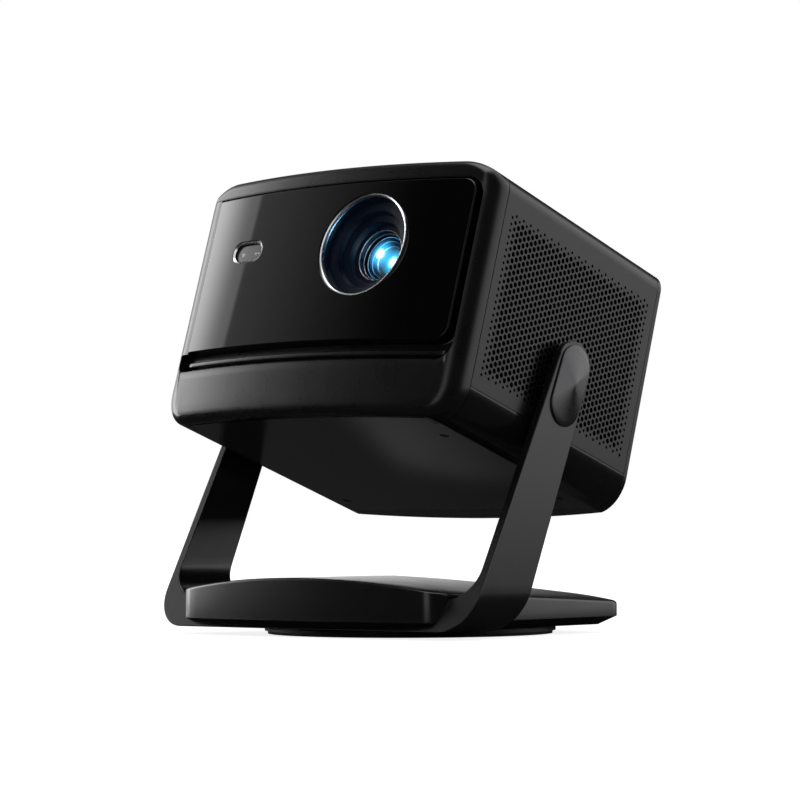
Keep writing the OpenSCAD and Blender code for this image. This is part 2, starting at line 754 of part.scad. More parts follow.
module rear_cover() color("#18181a") in_head() difference() {
    union() {
        difference() {
            intersection() {
                along_y(rear_y, BIG) head_section();
                before_back();
            }
            intersection() {
                along_y(rear_y - 1, BIG) head_section(wall);
                before_back(wall);
            }
        }
        intersection() {
            before_back();
            union() {
                block([bay[0][0] - bay_wall, bay_y - wall, bay[0][1] - bay_wall],
                      [bay[1][0] + bay_wall, BIG, bay[1][1] + bay_wall]);
                for (p = rear_screw_spots) translate([p[0], 0, p[1]]) rod_y(rear_post_r, rear_y, BIG);
                for (s = [-1, 1], x = [-1, 1], z = [-1, 1])
                    translate([s * fan_half_span + x * fan_hole, 0, fan_z + z * fan_hole])
                        rod_y(fan_post_r, rear_y, BIG);
            }
        }
    }
    block([bay[0][0], bay_y, bay[0][1]], [bay[1][0], BIG, bay[1][1]]);
    rear_vents();
    for (p = rear_screw_spots) translate([p[0], 0, p[1]]) {
        rod_y(screw_r, 0, BIG);
        rod_y(screw_head_r, rear_y + 3, BIG);
    }
    for (s = concat(hdmi_at, usb_at)) translate([s[0], 0, port_z])
        along_y(0, BIG) square([s[1] + 1, s[2] + 1], center = true);
    translate([audio_x, 0, port_z]) rod_y(audio_r + port_clear, 0, BIG);
    translate([inlet_x, 0, port_z]) rod_y(inlet_r + port_clear, 0, BIG);
    translate([button_x, 0, port_z]) rod_y(button_r + button_clear, 0, BIG);
}

module rear_screws() color("#77797c") in_head() for (p = rear_screw_spots)
    translate([p[0], 0, p[1]]) {
        rod_y(screw_head_r, rear_y + 3, rear_y + 5);
        rod_y(screw_r, head_rear - boss_l + 2, rear_y + 5);
    }

bay_back = bay_y - wall;            // inner face of the bay's floor

button_flange = bay_back - 2.3;     // front of the button's flange

module power_button() color("#2b2b2d") in_head() translate([button_x, 0, port_z]) {
    rod_y(button_r, bay_back - 1, bay_y + 1.5);
    rod_y(button_r + 1.5, button_flange, bay_back - button_clear);
}

module power_switch() color("#3c5a3c") in_head() {
    plunger = button_flange - button_travel - button_clear;
    post = button_r + 5;
    translate([button_x, 0, port_z]) {
        rod_y(2, plunger - 2, plunger);
        along_y(plunger - 5, plunger - 2) square([7, 7], center = true);
        along_y(plunger - 6.6, plunger - 5) square([10, 2 * post + 4], center = true);
        for (s = [-1, 1]) translate([0, 0, s * post]) rod_y(2, plunger - 5, bay_back);
    }
}

// ---------------------------------------------------------------- lens

lens_face = face_at(lens_x, face_r + panel_proud);
barrel_front = lens_face + glass_depth + 1;
barrel_r = front_glass_r + barrel_wall;
engine_front = -42;
flange_y = engine_front - 22;
ring_y = flange_y + 2.2;
trim_d = 3.2;                        // depth of the bright ring behind the face

module lens_trim_ring() color("#c8ccd2") in_head() on_lens() translate([0, lens_face, 0])
    rotate([-90, 0, 0]) rotate_extrude() polygon([
        [lens_hole_r - trim_w, trim_d], [lens_hole_r - trim_w, 1.9],
        [lens_hole_r, 0.6], [lens_hole_r, trim_d]
    ]);

// Stepped funnel between the panel's opening and the front glass
module lens_baffle() color("#101114") in_head() on_lens() translate([0, lens_face, 0])
    rotate([-90, 0, 0]) rotate_extrude() {
        d = glass_depth + 1;
        r3 = front_glass_r;
        polygon([
            [lens_hole_r, trim_d], [lens_hole_r - trim_w - 0.3, trim_d], [lens_hole_r - trim_w - 0.9, 8],
            [r3 + 9.4, 8.6], [r3 + 8.3, 13],
            [r3 + 4.4, 13.6], [r3 + 3.2, 18], [r3 + 1, 18.6], [r3, d], [barrel_r, d], [barrel_r, 19.6],
            [r3 + 6, 19.6], [r3 + 6, 15.2], [r3 + 11, 15.2], [r3 + 11, 10.2], [lens_hole_r, 10.2]
        ]);
    }

glass_seat = 9;                      // depth of the front glass's seat in the barrel

module lens_barrel() color("#2a2b2e") in_head() on_lens() difference() {
    union() {
        rod_y(barrel_r, barrel_front, engine_front);
        rod_y(barrel_r + 5, flange_y, flange_y + 2);
        rod_y(barrel_r + 3.5, engine_front - 3, engine_front);
    }
    rod_y(front_glass_r, -BIG, barrel_front + glass_seat);
    rod_y(rear_glass_r - 1, -BIG, BIG);
    rod_y(rear_glass_r, barrel_front + glass_seat - EPS, barrel_front + 24);
}

// Lens with a domed front: radius, edge thickness and dome height
module dome_lens(r, edge, dome) {
    sphere_r = (r * r + dome * dome) / (2 * dome);
    rotate_extrude() intersection() {
        translate([0, sphere_r]) circle(sphere_r, $fn = 360);
        square([r, dome + edge]);
    }
}

module front_glass() color("#6f8fb5") in_head() on_lens()
    translate([0, barrel_front - 1.5, 0]) rotate([-90, 0, 0]) dome_lens(front_glass_r, 6, 4.5);

module rear_glass() color("#6f8fb5") in_head() on_lens()
    translate([0, barrel_front + glass_seat + 4, 0]) rotate([-90, 0, 0]) dome_lens(rear_glass_r, 5, 3);

// Trapezoid-toothed gear blank with z teeth, drawn in a plane
module gear_2d(z, m, bore, shift = 0) {
    pr = z * m / 2;
    difference() {
        union() {
            circle(pr - 1.1 * m);
            for (i = [0 : z - 1]) rotate((i + shift) * 360 / z) polygon([
                [pr - 1.3 * m, -0.82 * m], [pr - 1.1 * m, -0.8 * m], [pr + 0.75 * m, -0.34 * m],
                [pr + 0.75 * m, 0.34 * m], [pr - 1.1 * m, 0.8 * m], [pr - 1.3 * m, 0.82 * m]
            ]);
        }
        circle(bore);
    }
}

ring_pr = ring_teeth * gear_m / 2;
pinion_pr = pinion_teeth * gear_m / 2;
drive_angle = -48;                                  // where the motor sits round the barrel
drive_reach = ring_pr + pinion_pr + 0.1;
motor_shaft_r = 1.5;
motor_r = 8;

module focus_ring() color("#4a4b4f") in_head() on_lens() rotate([0, drive_angle, 0])
    along_y(ring_y, ring_y + ring_w) gear_2d(ring_teeth, gear_m, barrel_r + run_fit);

module on_drive() in_head() on_lens() rotate([0, drive_angle, 0]) translate([drive_reach, 0, 0])
    children();

module focus_pinion() color("#e4e2d8") on_drive() rotate([0, 180, 0])
    along_y(ring_y, ring_y + ring_w) gear_2d(pinion_teeth, gear_m, motor_shaft_r + run_fit, 0.5);

module focus_motor() color("#a5a8ac") on_drive() {
    rod_y(motor_shaft_r, ring_y, engine_front);
    rod_y(motor_r, ring_y + ring_w + 1, engine_front);
}

// ---------------------------------------------------------------- inside the head

ear_half = 18;
ear_top = 22;
chassis_front = 9.3 - head_front;
engine_shift = 2;                    // the engine's middle left of the lens axis
engine_x0 = lens_x - engine_w / 2 - engine_shift;
engine_x1 = engine_x0 + engine_w;
engine_rear = engine_front + engine_d;
engine_top = 86;
engine_foot = 8;                     // the engine's pedestal stands in by this
engine_z = 18;                       // underside of the engine's body
engine_bore = 30;
board_lift = 5;
board_z = engine_top + board_lift;
board_t = 1.6;
standoff_r = 2.5;
standoff_in = [6, 8];                // from the engine's sides and ends
standoff_spots = [for (x = [engine_x0 + standoff_in[0], engine_x1 - standoff_in[0]],
                       y = [engine_front + standoff_in[1], engine_rear - standoff_in[1]]) [x, y]];

module chassis() color("#8d9196") in_head() difference() {
    union() {
        block([-ear_out, chassis_front, chassis_z], [ear_out, chassis_rear, chassis_top]);
        both_sides() block([shaft_in + collar_t, -ear_half, chassis_z], [ear_out, ear_half, ear_top]);
    }
    rod_x(shaft_r, -BIG, BIG);
    for (p = screw_spots) translate([p[0], p[1], chassis_z - EPS]) cylinder(h = BIG, r = screw_r);
}

module optical_engine() color("#5a5d62") in_head() difference() {
    union() {
        block([engine_x0, engine_front, engine_z], [engine_x1, engine_rear, engine_top]);
        block([engine_x0 + engine_foot, engine_front + engine_foot, chassis_top],
              [engine_x1 - engine_foot, engine_rear - engine_foot, engine_z]);
    }
    on_lens() rod_y(rear_glass_r - 1, engine_front - 1, engine_front + engine_bore);
}

source_x1 = engine_x0;
source_w = 58;
source_x0 = source_x1 - source_w;
source_in = 6;                       // behind the engine's front
source_top = 70;
sink_in = 40;
sink_y0 = engine_front + sink_in;
fins_d = 46;
sink_y1 = sink_y0 + fins_d;
sink_top = 78;
sink_plate = 5;
fin_t = 1.2;
pipe_r = 3;
pipe_in = 26;
pipe_y = sink_y0 + pipe_in;
pipe_out = 4;                        // the pipes stand out of the fins
pipe_z = [10, 34, 58];

module light_source() color("#3c3e42") in_head()
    block([source_x0, engine_front + source_in, chassis_top], [source_x1, sink_y0, source_top]);

module heat_sink() color("#b4b8bc") in_head() difference() {
    union() {
        block([source_x0, sink_y0, chassis_top], [source_x1, sink_y0 + sink_plate, sink_top]);
        for (i = [0 : fins - 1]) translate([source_x0 + i * (source_x1 - source_x0 - fin_t) / (fins - 1), 0, 0])
            block([0, sink_y0 + sink_plate - EPS, chassis_top], [fin_t, sink_y1, sink_top]);
    }
    for (z = pipe_z) translate([0, pipe_y, z]) rod_x(pipe_r, -BIG, BIG);
}

module heat_pipes() color("#b8734a") in_head() for (z = pipe_z)
    translate([0, pipe_y, z]) rod_x(pipe_r, source_x0 - pipe_out, engine_x0 + (z > engine_z ? 0 : engine_foot));

module board_standoffs() color("#c9a24a") in_head() for (p = standoff_spots)
    translate([p[0], p[1], engine_top]) cylinder(h = board_z - engine_top, r = standoff_r);

module main_board() color("#1f5a35") in_head() {
    top = board_z + board_t;
    block([source_x0, engine_front, board_z], [engine_x1, engine_rear + 20, top]);
    block([engine_x0 + 12, -20, top], [engine_x0 + 32, 0, top + 1.6]);
    for (x = [8, 30]) block([source_x0 + x, -10, top], [source_x0 + x + 14, 6, top + 1.2]);
}

power_x0 = -shaft_in + 2;
power_x1 = source_x0 - 6;
power_half = 54;                     // half the depth of the power board
power_lift = 3;
can_r = 6;
can_h = 20;
can_at = [14, 28];                   // from the board's front edge
coil_h = 21.4;
coil_at = [10, 30];                  // from the board's rear edge

module power_board() color("#1f5a35") in_head() {
    middle = (power_x0 + power_x1) / 2;
    under = chassis_top + power_lift;
    top = under + board_t;
    for (y = [-1, 1]) translate([middle, y * (power_half - 6), chassis_top])
        cylinder(h = power_lift, r = standoff_r);
    block([power_x0, -power_half, under], [power_x1, power_half, top]);
    block([power_x0 + 4, power_half - coil_at[1], top], [power_x1 - 3, power_half - coil_at[0], top + coil_h]);
    for (y = can_at) translate([middle, y - power_half, top]) cylinder(h = can_h, r = can_r);
}

box_in = 8;                           // the speaker's box behind the head's front
box_l = 48;
box_z0 = 26;
box_z1 = 86;
box_low = [-head_front + box_in, box_z0];
box_high = [box_low[0] + box_l, box_z1];
box_d = 28;
box_wall = 2;
cone_r = 19;
magnet_r = 8;
magnet_d = 16;

// Box behind the side wall with a round driver, whose rim meets the cloth
module speaker() in_head() {
    x1 = inner_half_w - cloth_t;
    middle = (box_low + box_high) / 2;
    difference() {
        block([x1 - box_wall - box_d, box_low[0], box_low[1]], [x1 - box_wall, box_high[0], box_high[1]]);
        block([x1 - box_d, box_low[0] + box_wall, box_low[1] + box_wall],
              [x1 - 2 * box_wall, box_high[0] - box_wall, box_high[1] - box_wall]);
        translate([0, middle[0], middle[1]]) rod_x(cone_r, x1 - 2 * box_wall - 1, BIG);
    }
    translate([0, middle[0], middle[1]]) {
        difference() {
            rod_x(cone_r + 2, x1 - box_wall, x1);
            rod_x(cone_r - 1, x1 - box_wall - 1, BIG);
        }
        rod_x(cone_r - 0.5, x1 - 4.5, x1 - 3.5);
        rod_x(cone_r, x1 - 5 + EPS, x1 - 4);
        rod_x(magnet_r, x1 - magnet_d, x1 - 4);
    }
}

module speaker_right() color("#2b2b2b") speaker();
module speaker_left() color("#2b2b2b") mirror([1, 0, 0]) speaker();

fan_pin_r = 2;
fan_bore = fan_side / 2 - 2;
fan_hub_r = 14;

// Fan frame against the rear cover, about its own axis
module fan_frame() {
    y1 = rear_y;
    y0 = rear_y - fan_t;
    difference() {
        along_y(y0, y1) square([fan_side, fan_side], center = true);
        rod_y(fan_bore, y0 - 1, y1 + 1);
    }
    difference() {
        for (a = [90, 210, 330]) rotate([0, a, 0])
            block([0, y0, -2], [fan_bore + 1, y0 + 2, 2]);
        rod_y(fan_hub_r - 1, y0 - 1, y0 + 3);
    }
    rod_y(fan_hub_r, y0, y0 + 2);
    rod_y(fan_pin_r, y0, y1 - 2);
}

module fan_rotor() {
    y0 = rear_y - fan_t + 2.6;
    y1 = rear_y - 1.6;
    difference() {
        union() {
            rod_y(fan_hub_r, y0, y1);
            intersection() {
                for (i = [0 : fan_blades - 1]) rotate([0, i * 360 / fan_blades, 0])
                    translate([(fan_hub_r + fan_bore) / 2 - 1, (y0 + y1) / 2, 0]) rotate([38, 0, 0])
                        cube([fan_bore - fan_hub_r + 2, 1.4, 22], center = true);
                rod_y(fan_bore - 1.2, y0 + 0.6, y1 - 0.6);
            }
        }
        rod_y(fan_pin_r + run_fit, y0 - 1, y1 + 1);
    }
}

module at_fan(s) in_head() translate([s * fan_half_span, 0, fan_z]) children();

module fan_frame_right() color("#222326") at_fan(1) fan_frame();
module fan_frame_left() color("#222326") at_fan(-1) fan_frame();
module fan_rotor_right() color("#3a3b40") at_fan(1) fan_rotor();
module fan_rotor_left() color("#3a3b40") at_fan(-1) fan_rotor();

// ---------------------------------------------------------------- sockets

socket_y0 = bay_y - 15;
socket_y1 = bay_y - 0.5;
pcb_z = port_z - 4;

module port_board() color("#1f5a35") in_head() {
    block([bay[0][0] + 2, socket_y0 - 10, pcb_z - board_t], [inlet_x + 9, bay_back - 1, pcb_z]);
    for (x = [bay[0][0] + 8, inlet_x + 4])
        block([x - 3, chassis_rear - 5, chassis_top], [x + 3, chassis_rear, pcb_z - board_t]);
}

// Open metal socket: mouth at the rear, tongue inside
module socket(w, h) {
    difference() {
        along_y(socket_y0, socket_y1) square([w, h], center = true);
        along_y(socket_y0 + 1.5, BIG) square([w - 0.9, h - 0.9], center = true);
    }
    along_y(socket_y0, socket_y1 - 3) square([w - 4, 1.2], center = true);
    block([-w / 2 + 1, socket_y0, pcb_z - port_z], [w / 2 - 1, bay_back - 2, -h / 2]);
}

module hdmi_sockets() color("#c4c7ca") in_head() for (s = hdmi_at)
    translate([s[0], 0, port_z]) socket(s[1], s[2]);
module usb_sockets() color("#c4c7ca") in_head() for (s = usb_at)
    translate([s[0], 0, port_z]) socket(s[1], s[2]);

module audio_socket() color("#1c1c1c") in_head() translate([audio_x, 0, port_z]) difference() {
    union() {
        rod_y(audio_r, bay_back - 1, socket_y1);
        block([-4, socket_y0, -4], [4, bay_back - 1, 4]);
    }
    rod_y(1.8, socket_y0 + 2, BIG);
}

module power_inlet() color("#1c1c1c") in_head() translate([inlet_x, 0, port_z]) {
    difference() {
        union() {
            rod_y(inlet_r, bay_back - 1, socket_y1);
            block([-6.4, socket_y0, -4], [6.4, bay_back - 1, 6.4]);
        }
        rod_y(2.85, socket_y0 + 2, BIG);
    }
    rod_y(1, socket_y0 + 1, socket_y1 - 2);
}

// ---------------------------------------------------------------- nodes

foot_disc();
foot_rubber_ring();
slip_ring();
swivel_spindle();
spindle_nut();
base_plate();
base_cover();
swivel_bush();
yoke();
yoke_screws();
tilt_bush_right();
tilt_bush_left();
pivot_cap_right();
pivot_cap_left();
head_shell();
bottom_cover();
rear_cover();
front_bezel();
front_panel();
grille_cloth_right();
grille_cloth_left();
sensor_window();
sensor_lenses();
lens_trim_ring();
lens_baffle();
lens_barrel();
front_glass();
rear_glass();
focus_ring();
focus_pinion();
focus_motor();
chassis();
tilt_shaft_right();
tilt_shaft_left();
optical_engine();
light_source();
heat_sink();
heat_pipes();
main_board();
board_standoffs();
power_board();
speaker_right();
speaker_left();
fan_frame_right();
fan_frame_left();
fan_rotor_right();
fan_rotor_left();
port_board();
hdmi_sockets();
usb_sockets();
audio_socket();
power_inlet();
power_button();
power_switch();
bottom_screws();
rear_screws();
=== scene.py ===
import json
from math import acos, asin, atan2, copysign, cos, degrees, hypot, pi, radians, sin, sqrt, tan

import bpy
from mathutils import Matrix, Vector
from mathutils.geometry import delaunay_2d_cdt


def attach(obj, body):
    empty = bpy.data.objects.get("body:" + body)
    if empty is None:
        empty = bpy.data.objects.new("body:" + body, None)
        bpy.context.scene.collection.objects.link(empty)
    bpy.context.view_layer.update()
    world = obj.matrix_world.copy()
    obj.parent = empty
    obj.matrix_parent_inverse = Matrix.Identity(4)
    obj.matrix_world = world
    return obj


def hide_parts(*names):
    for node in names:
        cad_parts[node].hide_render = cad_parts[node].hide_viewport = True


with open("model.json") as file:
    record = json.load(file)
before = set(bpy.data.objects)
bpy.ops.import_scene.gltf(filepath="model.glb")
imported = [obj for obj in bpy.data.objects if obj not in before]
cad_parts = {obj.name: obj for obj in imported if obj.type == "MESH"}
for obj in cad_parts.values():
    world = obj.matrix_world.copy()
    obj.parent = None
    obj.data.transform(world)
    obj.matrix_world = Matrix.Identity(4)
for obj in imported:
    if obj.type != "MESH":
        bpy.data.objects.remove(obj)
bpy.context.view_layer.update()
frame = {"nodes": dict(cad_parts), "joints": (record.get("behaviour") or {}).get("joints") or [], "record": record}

# -------------------- sizes, mm
# The head is drawn level about its tilt axis, as in the part's source.
MM = 0.001
TILT = radians(18)
PIVOT = next(j for j in frame["joints"] if j["name"] == "tilt")["pos_m"][2] / MM

HALF_W, TOP, BOTTOM = 118.5, 110.0, -53.4
WALL = 2.6
SEAM_A, REAR_END, SEAM_B, SEAM_GAP = -81.3, 81.6, -30.6, 0.3
TOP_R, SHOULDER_R, BOTTOM_R, CREASE = 13.0, 40.0, 22.0, 0.5
SHOULDER_DEG = 60

FACE_R, CORNER_R, BEZEL_DEPTH = 630.0, 14.0, 16.2
UPPER_R, LOWER_R = 5.0, 7.0
PANEL_L, PANEL_R, PANEL_LOW, PANEL_TOP = -103.4, 106.8, -7.1, 96.9
POCKET_L = -111.6
PANEL_RIGHT_R, PANEL_LEFT_R, PROUD, PANEL_BACK = 9.0, 2.0, 1.2, 6.8
CORNER_BACK = 1.2                     # how far the panel's ends stay before the corner's centre
POCKET_LOW_LEFT_R = 5.5
CHANNEL, TOP_GAP, SIDE_GAP, LIP, FLOOR_T = 3.8, 1.1, 0.2, -19.4, 2.5
LEDGE_Z, LEDGE_H, LEDGE_D, LEDGE_HALF = -13.85, 3.6, 3.4, 105.0
SILL_X = HALF_W - BOTTOM_R
PANEL_EDGE, LENS_EDGE, PILL_EDGE = 0.8, 0.35, 0.45       # rounded edges of the panel and its openings
EDGE_STEPS, FACE_STEPS, EDGE_IN = 9, 5, 0.4              # rows of the bezel, and the pocket's soft edge
FLOOR_IN, CORNER_CLEAR = 12, 9.4

LENS_X, LENS_Z, HOLE_R, TRIM_W = 32.3, 55.5, 33.4, 1.3
PILL_X, PILL_Z, PILL_L, PILL_H = -65.6, 57.7, 27.2, 14.4
RIM_IN, RIM_D, RIM_BACK = 1.4, 1.1, 3.2                  # the sensor window's sloping rim
SENSOR_D, SENSOR_BACK = 2.4, 5.5
EYES, EYE_DROP, EYE_RISE = ((-5.2, 1.4), (6.2, 0.9), (8.9, 0.9)), 1.0, 0.35

ARM_IN, ARM_OUT, ARM_END_R = 122.8, 128.0, 16.2
LEAN_F, LEAN_R = radians(28.9), radians(24.7)
END_Y, END_RISE = 3.85, 10.0
YOKE_Z, BAR_TOP, YOKE_R_OUT, YOKE_R_IN = 5.0, 24.5, 23.0, 19.0
YOKE_BEVEL, YOKE_LOOP = 0.7, 1.35                        # and where the row beside the bevel runs
CAP_R, CAP_SPAN, CAP_RIM, CAP_RISE = 13.8, 25.0, 1.2, 3.0

BASE_W, BASE_F, BASE_B, BULGE_F, BULGE_B = 212.0, 112.0, 100.0, 10.0, 16.0
BASE_CORNER, CROWN, CROWN_R, SLOPE, SLOPE_Y = 15.0, 36.7, 657.0, radians(5.1), -15.0
BASE_Z, PLATE_TOP, PLATE_INSET, BUSH_R = 5.2, 11.0, 10.0, 12.05
COVER_T, COVER_EDGE = 2.5, 1.8

# Holes in the side walls
HOLE_COLS, HOLE_DY, HOLE_DZ = 41, 3.683, 4.2
HOLE_Y0, HOLE_LOW, HOLE_HIGH = -73.6, -20.6, 82.4
HOLE_RAD, HOLE_RAD_EDGE, HOLE_SIDES, HOLE_TURN = 1.62, 1.0, 14, 0.26
SHAFT_R, SHAFT_CLEAR, SEAM_CHAMFER = 8.0, 13, 0.12

FACE_END = -SEAM_A + BEZEL_DEPTH
FACE_C = FACE_R - FACE_END - (FACE_R - sqrt(FACE_R ** 2 - (HALF_W - CORNER_R) ** 2))
CORNER_X = HALF_W - CORNER_R
CORNER_Y = FACE_C - sqrt((FACE_R - CORNER_R) ** 2 - CORNER_X ** 2)
LOWER_C = (HALF_W - BOTTOM_R, BOTTOM - CREASE + BOTTOM_R)
A60 = radians(SHOULDER_DEG)
UPPER_C = (HALF_W - TOP_R, TOP - SHOULDER_R + (SHOULDER_R - TOP_R) * sin(A60))
SHOULDER_C = (UPPER_C[0] - (SHOULDER_R - TOP_R) * cos(A60), TOP - SHOULDER_R)


def head_turn(n, up=0.0):
    c, s = cos(TILT), sin(TILT)
    return Vector((n[0], n[1] * c + n[2] * s, -n[1] * s + n[2] * c + up))


def head_place(p):
    return head_turn(p, PIVOT) * MM


def base_place(p):
    return Vector(p) * MM


def arm_place(p):
    return Vector((p[0], p[1], p[2] + PIVOT)) * MM


# -------------------- mesh builder

def new_object(name, data):
    o = bpy.data.objects.new(name, data)
    bpy.context.scene.collection.objects.link(o)
    return o


class Shape:
    """Collects faces in mm. Points that coincide are one vertex; each corner may have its own normal."""

    def __init__(self):
        self.points, self.index, self.faces, self.normals, self.slots = [], {}, [], [], []

    def vertex(self, p):
        key = (round(p[0], 4), round(p[1], 4), round(p[2], 4))
        if key not in self.index:
            self.index[key] = len(self.points)
            self.points.append(key)
        return self.index[key]

    def face(self, pts, normals=None, slot=0):
        ids, nrm = [], []
        for i, p in enumerate(pts):
            v = self.vertex(p)
            if ids and v == ids[-1]:
                continue
            ids.append(v)
            nrm.append(normals[i] if normals else None)
        while len(ids) > 1 and ids[0] == ids[-1]:
            ids.pop()
            nrm.pop()
        if len(set(ids)) < 3 or len(set(ids)) < len(ids):
            return
        self.faces.append(ids)
        self.normals.append(nrm)
        self.slots.append(slot)

    def band(self, a, b, na=None, nb=None, closed=False, slot=0):
        """Quads between two rows of points."""
        n = len(a)
        for i in range(n if closed else n - 1):
            j = (i + 1) % n
            nr = [na[i], na[j], nb[j], nb[i]] if na else None
            self.face([a[i], a[j], b[j], b[i]], nr, slot)

    def skin(self, rows, ends=False, slot=0):
        """Closed bands from row to row, and the faces at both ends where asked."""
        for a, b in zip(rows, rows[1:]):
            self.band(a, b, closed=True, slot=slot)
        if ends:
            self.face(rows[0][::-1])
            self.face(rows[-1])

    def fan(self, row, tip, flip=False):
        for a, b in zip(row, row[1:] + row[:1]):
            self.face([b, a, tip] if flip else [a, b, tip])

    def build(self, name, body, materials, place=head_place, nodes=(), smooth=None):
        """The object. Without a smoothing angle, corners have the normals given with their faces."""
        me = bpy.data.meshes.new(name)
        me.from_pydata([place(p) for p in self.points], [], self.faces)
        for m in materials:
            me.materials.append(m)
        me.polygons.foreach_set("material_index", self.slots)
        me.update()
        me.shade_smooth()
        if smooth is not None:
            me.set_sharp_from_angle(angle=radians(smooth))
        else:
            flat = [p.normal.copy() for p in me.polygons]
            me.normals_split_custom_set([head_turn(n).normalized() if n is not None else flat[k]
                                         for k, nrm in enumerate(self.normals) for n in nrm])
        obj = new_object(name, me)
        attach(obj, body)
        if nodes:
            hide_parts(*nodes)


def quarter(n):
    """The angles of a quarter turn in n steps."""
    return [pi / 2 * k / n for k in range(n + 1)]


def arc(cx, cz, r, a0, a1, steps):
    """Points with their normals, from angle a0 to a1 in degrees."""
    out = []
    for i in range(steps + 1):
        a = radians(a0 + (a1 - a0) * i / steps)
        out.append((cx + r * cos(a), cz + r * sin(a), cos(a), sin(a)))
    return out


def line(x0, z0, x1, z1, steps, nx, nz):
    return [(x0 + (x1 - x0) * i / steps, z0 + (z1 - z0) * i / steps, nx, nz) for i in range(steps + 1)]


def tidy_row(rows):
    """The same points without repeats."""
    out = []
    for r in rows:
        if not out or hypot(r[0] - out[-1][0], r[1] - out[-1][1]) > 1e-6:
            out.append(r)
    return out


def mirrored(rows):
    """The right half, from bottom to top, followed by its mirror image from top to bottom."""
    left = [(-x, z, -nx, nz) for x, z, nx, nz in reversed(rows)]
    return tidy_row(rows + left)


CREASE_DEG = -degrees(acos((BOTTOM_R - CREASE) / BOTTOM_R))    # from straight down
CREASE_X = LOWER_C[0] + sqrt(BOTTOM_R ** 2 - (BOTTOM_R - CREASE) ** 2)


def upper_outline(z0, upright, corner, shoulder, level):
    """Right half of the head's section from height z0 on the flat side up to the middle of the top,
    with the number of steps in each of its four parts."""
    return tidy_row(
        line(HALF_W, z0, HALF_W, UPPER_C[1], upright, 1, 0)
        + arc(*UPPER_C, TOP_R, 0, SHOULDER_DEG, corner)
        + arc(*SHOULDER_C, SHOULDER_R, SHOULDER_DEG, 90, shoulder)
        + line(SHOULDER_C[0], TOP, 0, TOP, level, 0, 1))


# -------------------- shader helpers

def fill(nt, n, inputs):
    """Sets a node's inputs: a socket is linked, anything else is a plain value."""
    for key, v in dict(inputs).items():
        if isinstance(v, bpy.types.NodeSocket):
            nt.links.new(v, n.inputs[key])
        else:
            n.inputs[key].default_value = v


def node(nt, kind, inputs=(), **settings):
    n = nt.nodes.new("ShaderNode" + kind)
    for key, v in settings.items():
        setattr(n, key, v)
    fill(nt, n, inputs)
    return n


def maths(nt, op, *values):
    return node(nt, "Math", enumerate(values), operation=op).outputs["Value"]


def step_up(nt, value, lo, hi, to_lo=0.0, to_hi=1.0):
    """Smooth rise of a value between two marks."""
    marks = {"Value": value, "From Min": lo, "From Max": hi, "To Min": to_lo, "To Max": to_hi}
    return node(nt, "MapRange", marks, interpolation_type="SMOOTHSTEP").outputs["Result"]


def place_in(nt):
    tc = nt.nodes.get("Coords") or node(nt, "TexCoord", name="Coords")
    return tc.outputs["Object"]


def noise(nt, scale, detail=3.0):
    return node(nt, "TexNoise", {"Scale": scale, "Detail": detail, "Vector": place_in(nt)}).outputs["Fac"]


def ranged(nt, source, lo, hi):
    return node(nt, "MapRange", {"Value": source, "To Min": lo, "To Max": hi}).outputs["Result"]


def grey(v, blue=1.04):
    return (v, v, v * blue)


def coloured(nt, source, a, b):
    """A ramp between two colours, where a plain number is a grey."""
    r = node(nt, "ValToRGB", {"Fac": source})
    for element, c, mark in zip(r.color_ramp.elements, (a, b), (0.3, 0.7)):
        element.color, element.position = (*(c if isinstance(c, tuple) else grey(c)), 1), mark
    return r.outputs["Color"]


def bumped(nt, height, strength, mm):
    return node(nt, "Bump", {"Strength": strength, "Distance": mm * MM, "Height": height}).outputs["Normal"]


MADE = {}                                 # the materials, by the name asked for


def new_material(name):
    m = MADE[name] = bpy.data.materials.new(name)
    m.use_nodes = True
    return m, m.node_tree, m.node_tree.nodes["Principled BSDF"]


# -------------------- materials

BLOTCH, THREADS = 55.0, 420.0             # scales: the slow change in colour and roughness, the cloth


def finish(name, dark, light, rough, metallic=0.0, spec=0.5, grain=3500.0, bump=0.06, grain_mm=0.02):
    """A moulded or coated surface: colour and roughness vary gently, with a fine grain as bump."""
    m, nt, b = new_material(name)
    slow = noise(nt, BLOTCH)
    fill(nt, b, {"Metallic": metallic, "Specular IOR Level": spec,
                 "Base Color": coloured(nt, slow, dark, light), "Roughness": ranged(nt, slow, *rough)})
    if bump:
        fill(nt, b, {"Normal": bumped(nt, noise(nt, grain, 2.0), bump, grain_mm)})
    return m


CASING = finish("casing_black", 0.0038, 0.005, (0.25, 0.31), spec=0.36)
PANEL = finish("panel_gloss", grey(0.0012, 1.1), grey(0.0016, 1.1), (0.03, 0.045), spec=0.35, bump=0.0)
UNDER = finish("casing_smooth", 0.0038, 0.005, (0.15, 0.19), spec=0.36, bump=0.03)
STAND = finish("stand_black", 0.0042, 0.0054, (0.22, 0.28), spec=0.5, grain=5200.0, bump=0.05)
PLATE = finish("stand_metal", 0.003, 0.004, (0.4, 0.5), spec=0.3)
BAFFLE = finish("baffle_black", (0.003, 0.007, 0.018), (0.005, 0.010, 0.025), (0.24, 0.32), spec=0.19,
                grain=2500.0)
WINDOW = finish("window_gloss", 0.03, 0.036, (0.16, 0.2), spec=0.5, bump=0.0)
EYE = finish("eye_pale", 0.62, 0.7, (0.2, 0.3), bump=0.0)
# Painted shade: the walls of the side holes, the shell's inner skin and the sensor rim's inner wall get this
# darker, matte finish to stand for the shade in these recesses.
HOLE_SHADE = finish("hole_painted_shade", 0.0012, 0.0018, (0.7, 0.8), spec=0.1, bump=0.0)
finish("rubber_black", 0.013, 0.018, (0.65, 0.8), spec=0.3, bump=0.3, grain_mm=0.05)
finish("low_friction", (0.66, 0.65, 0.6), (0.72, 0.71, 0.66), (0.35, 0.45))
finish("bush_plastic", 0.03, 0.036, (0.35, 0.45))
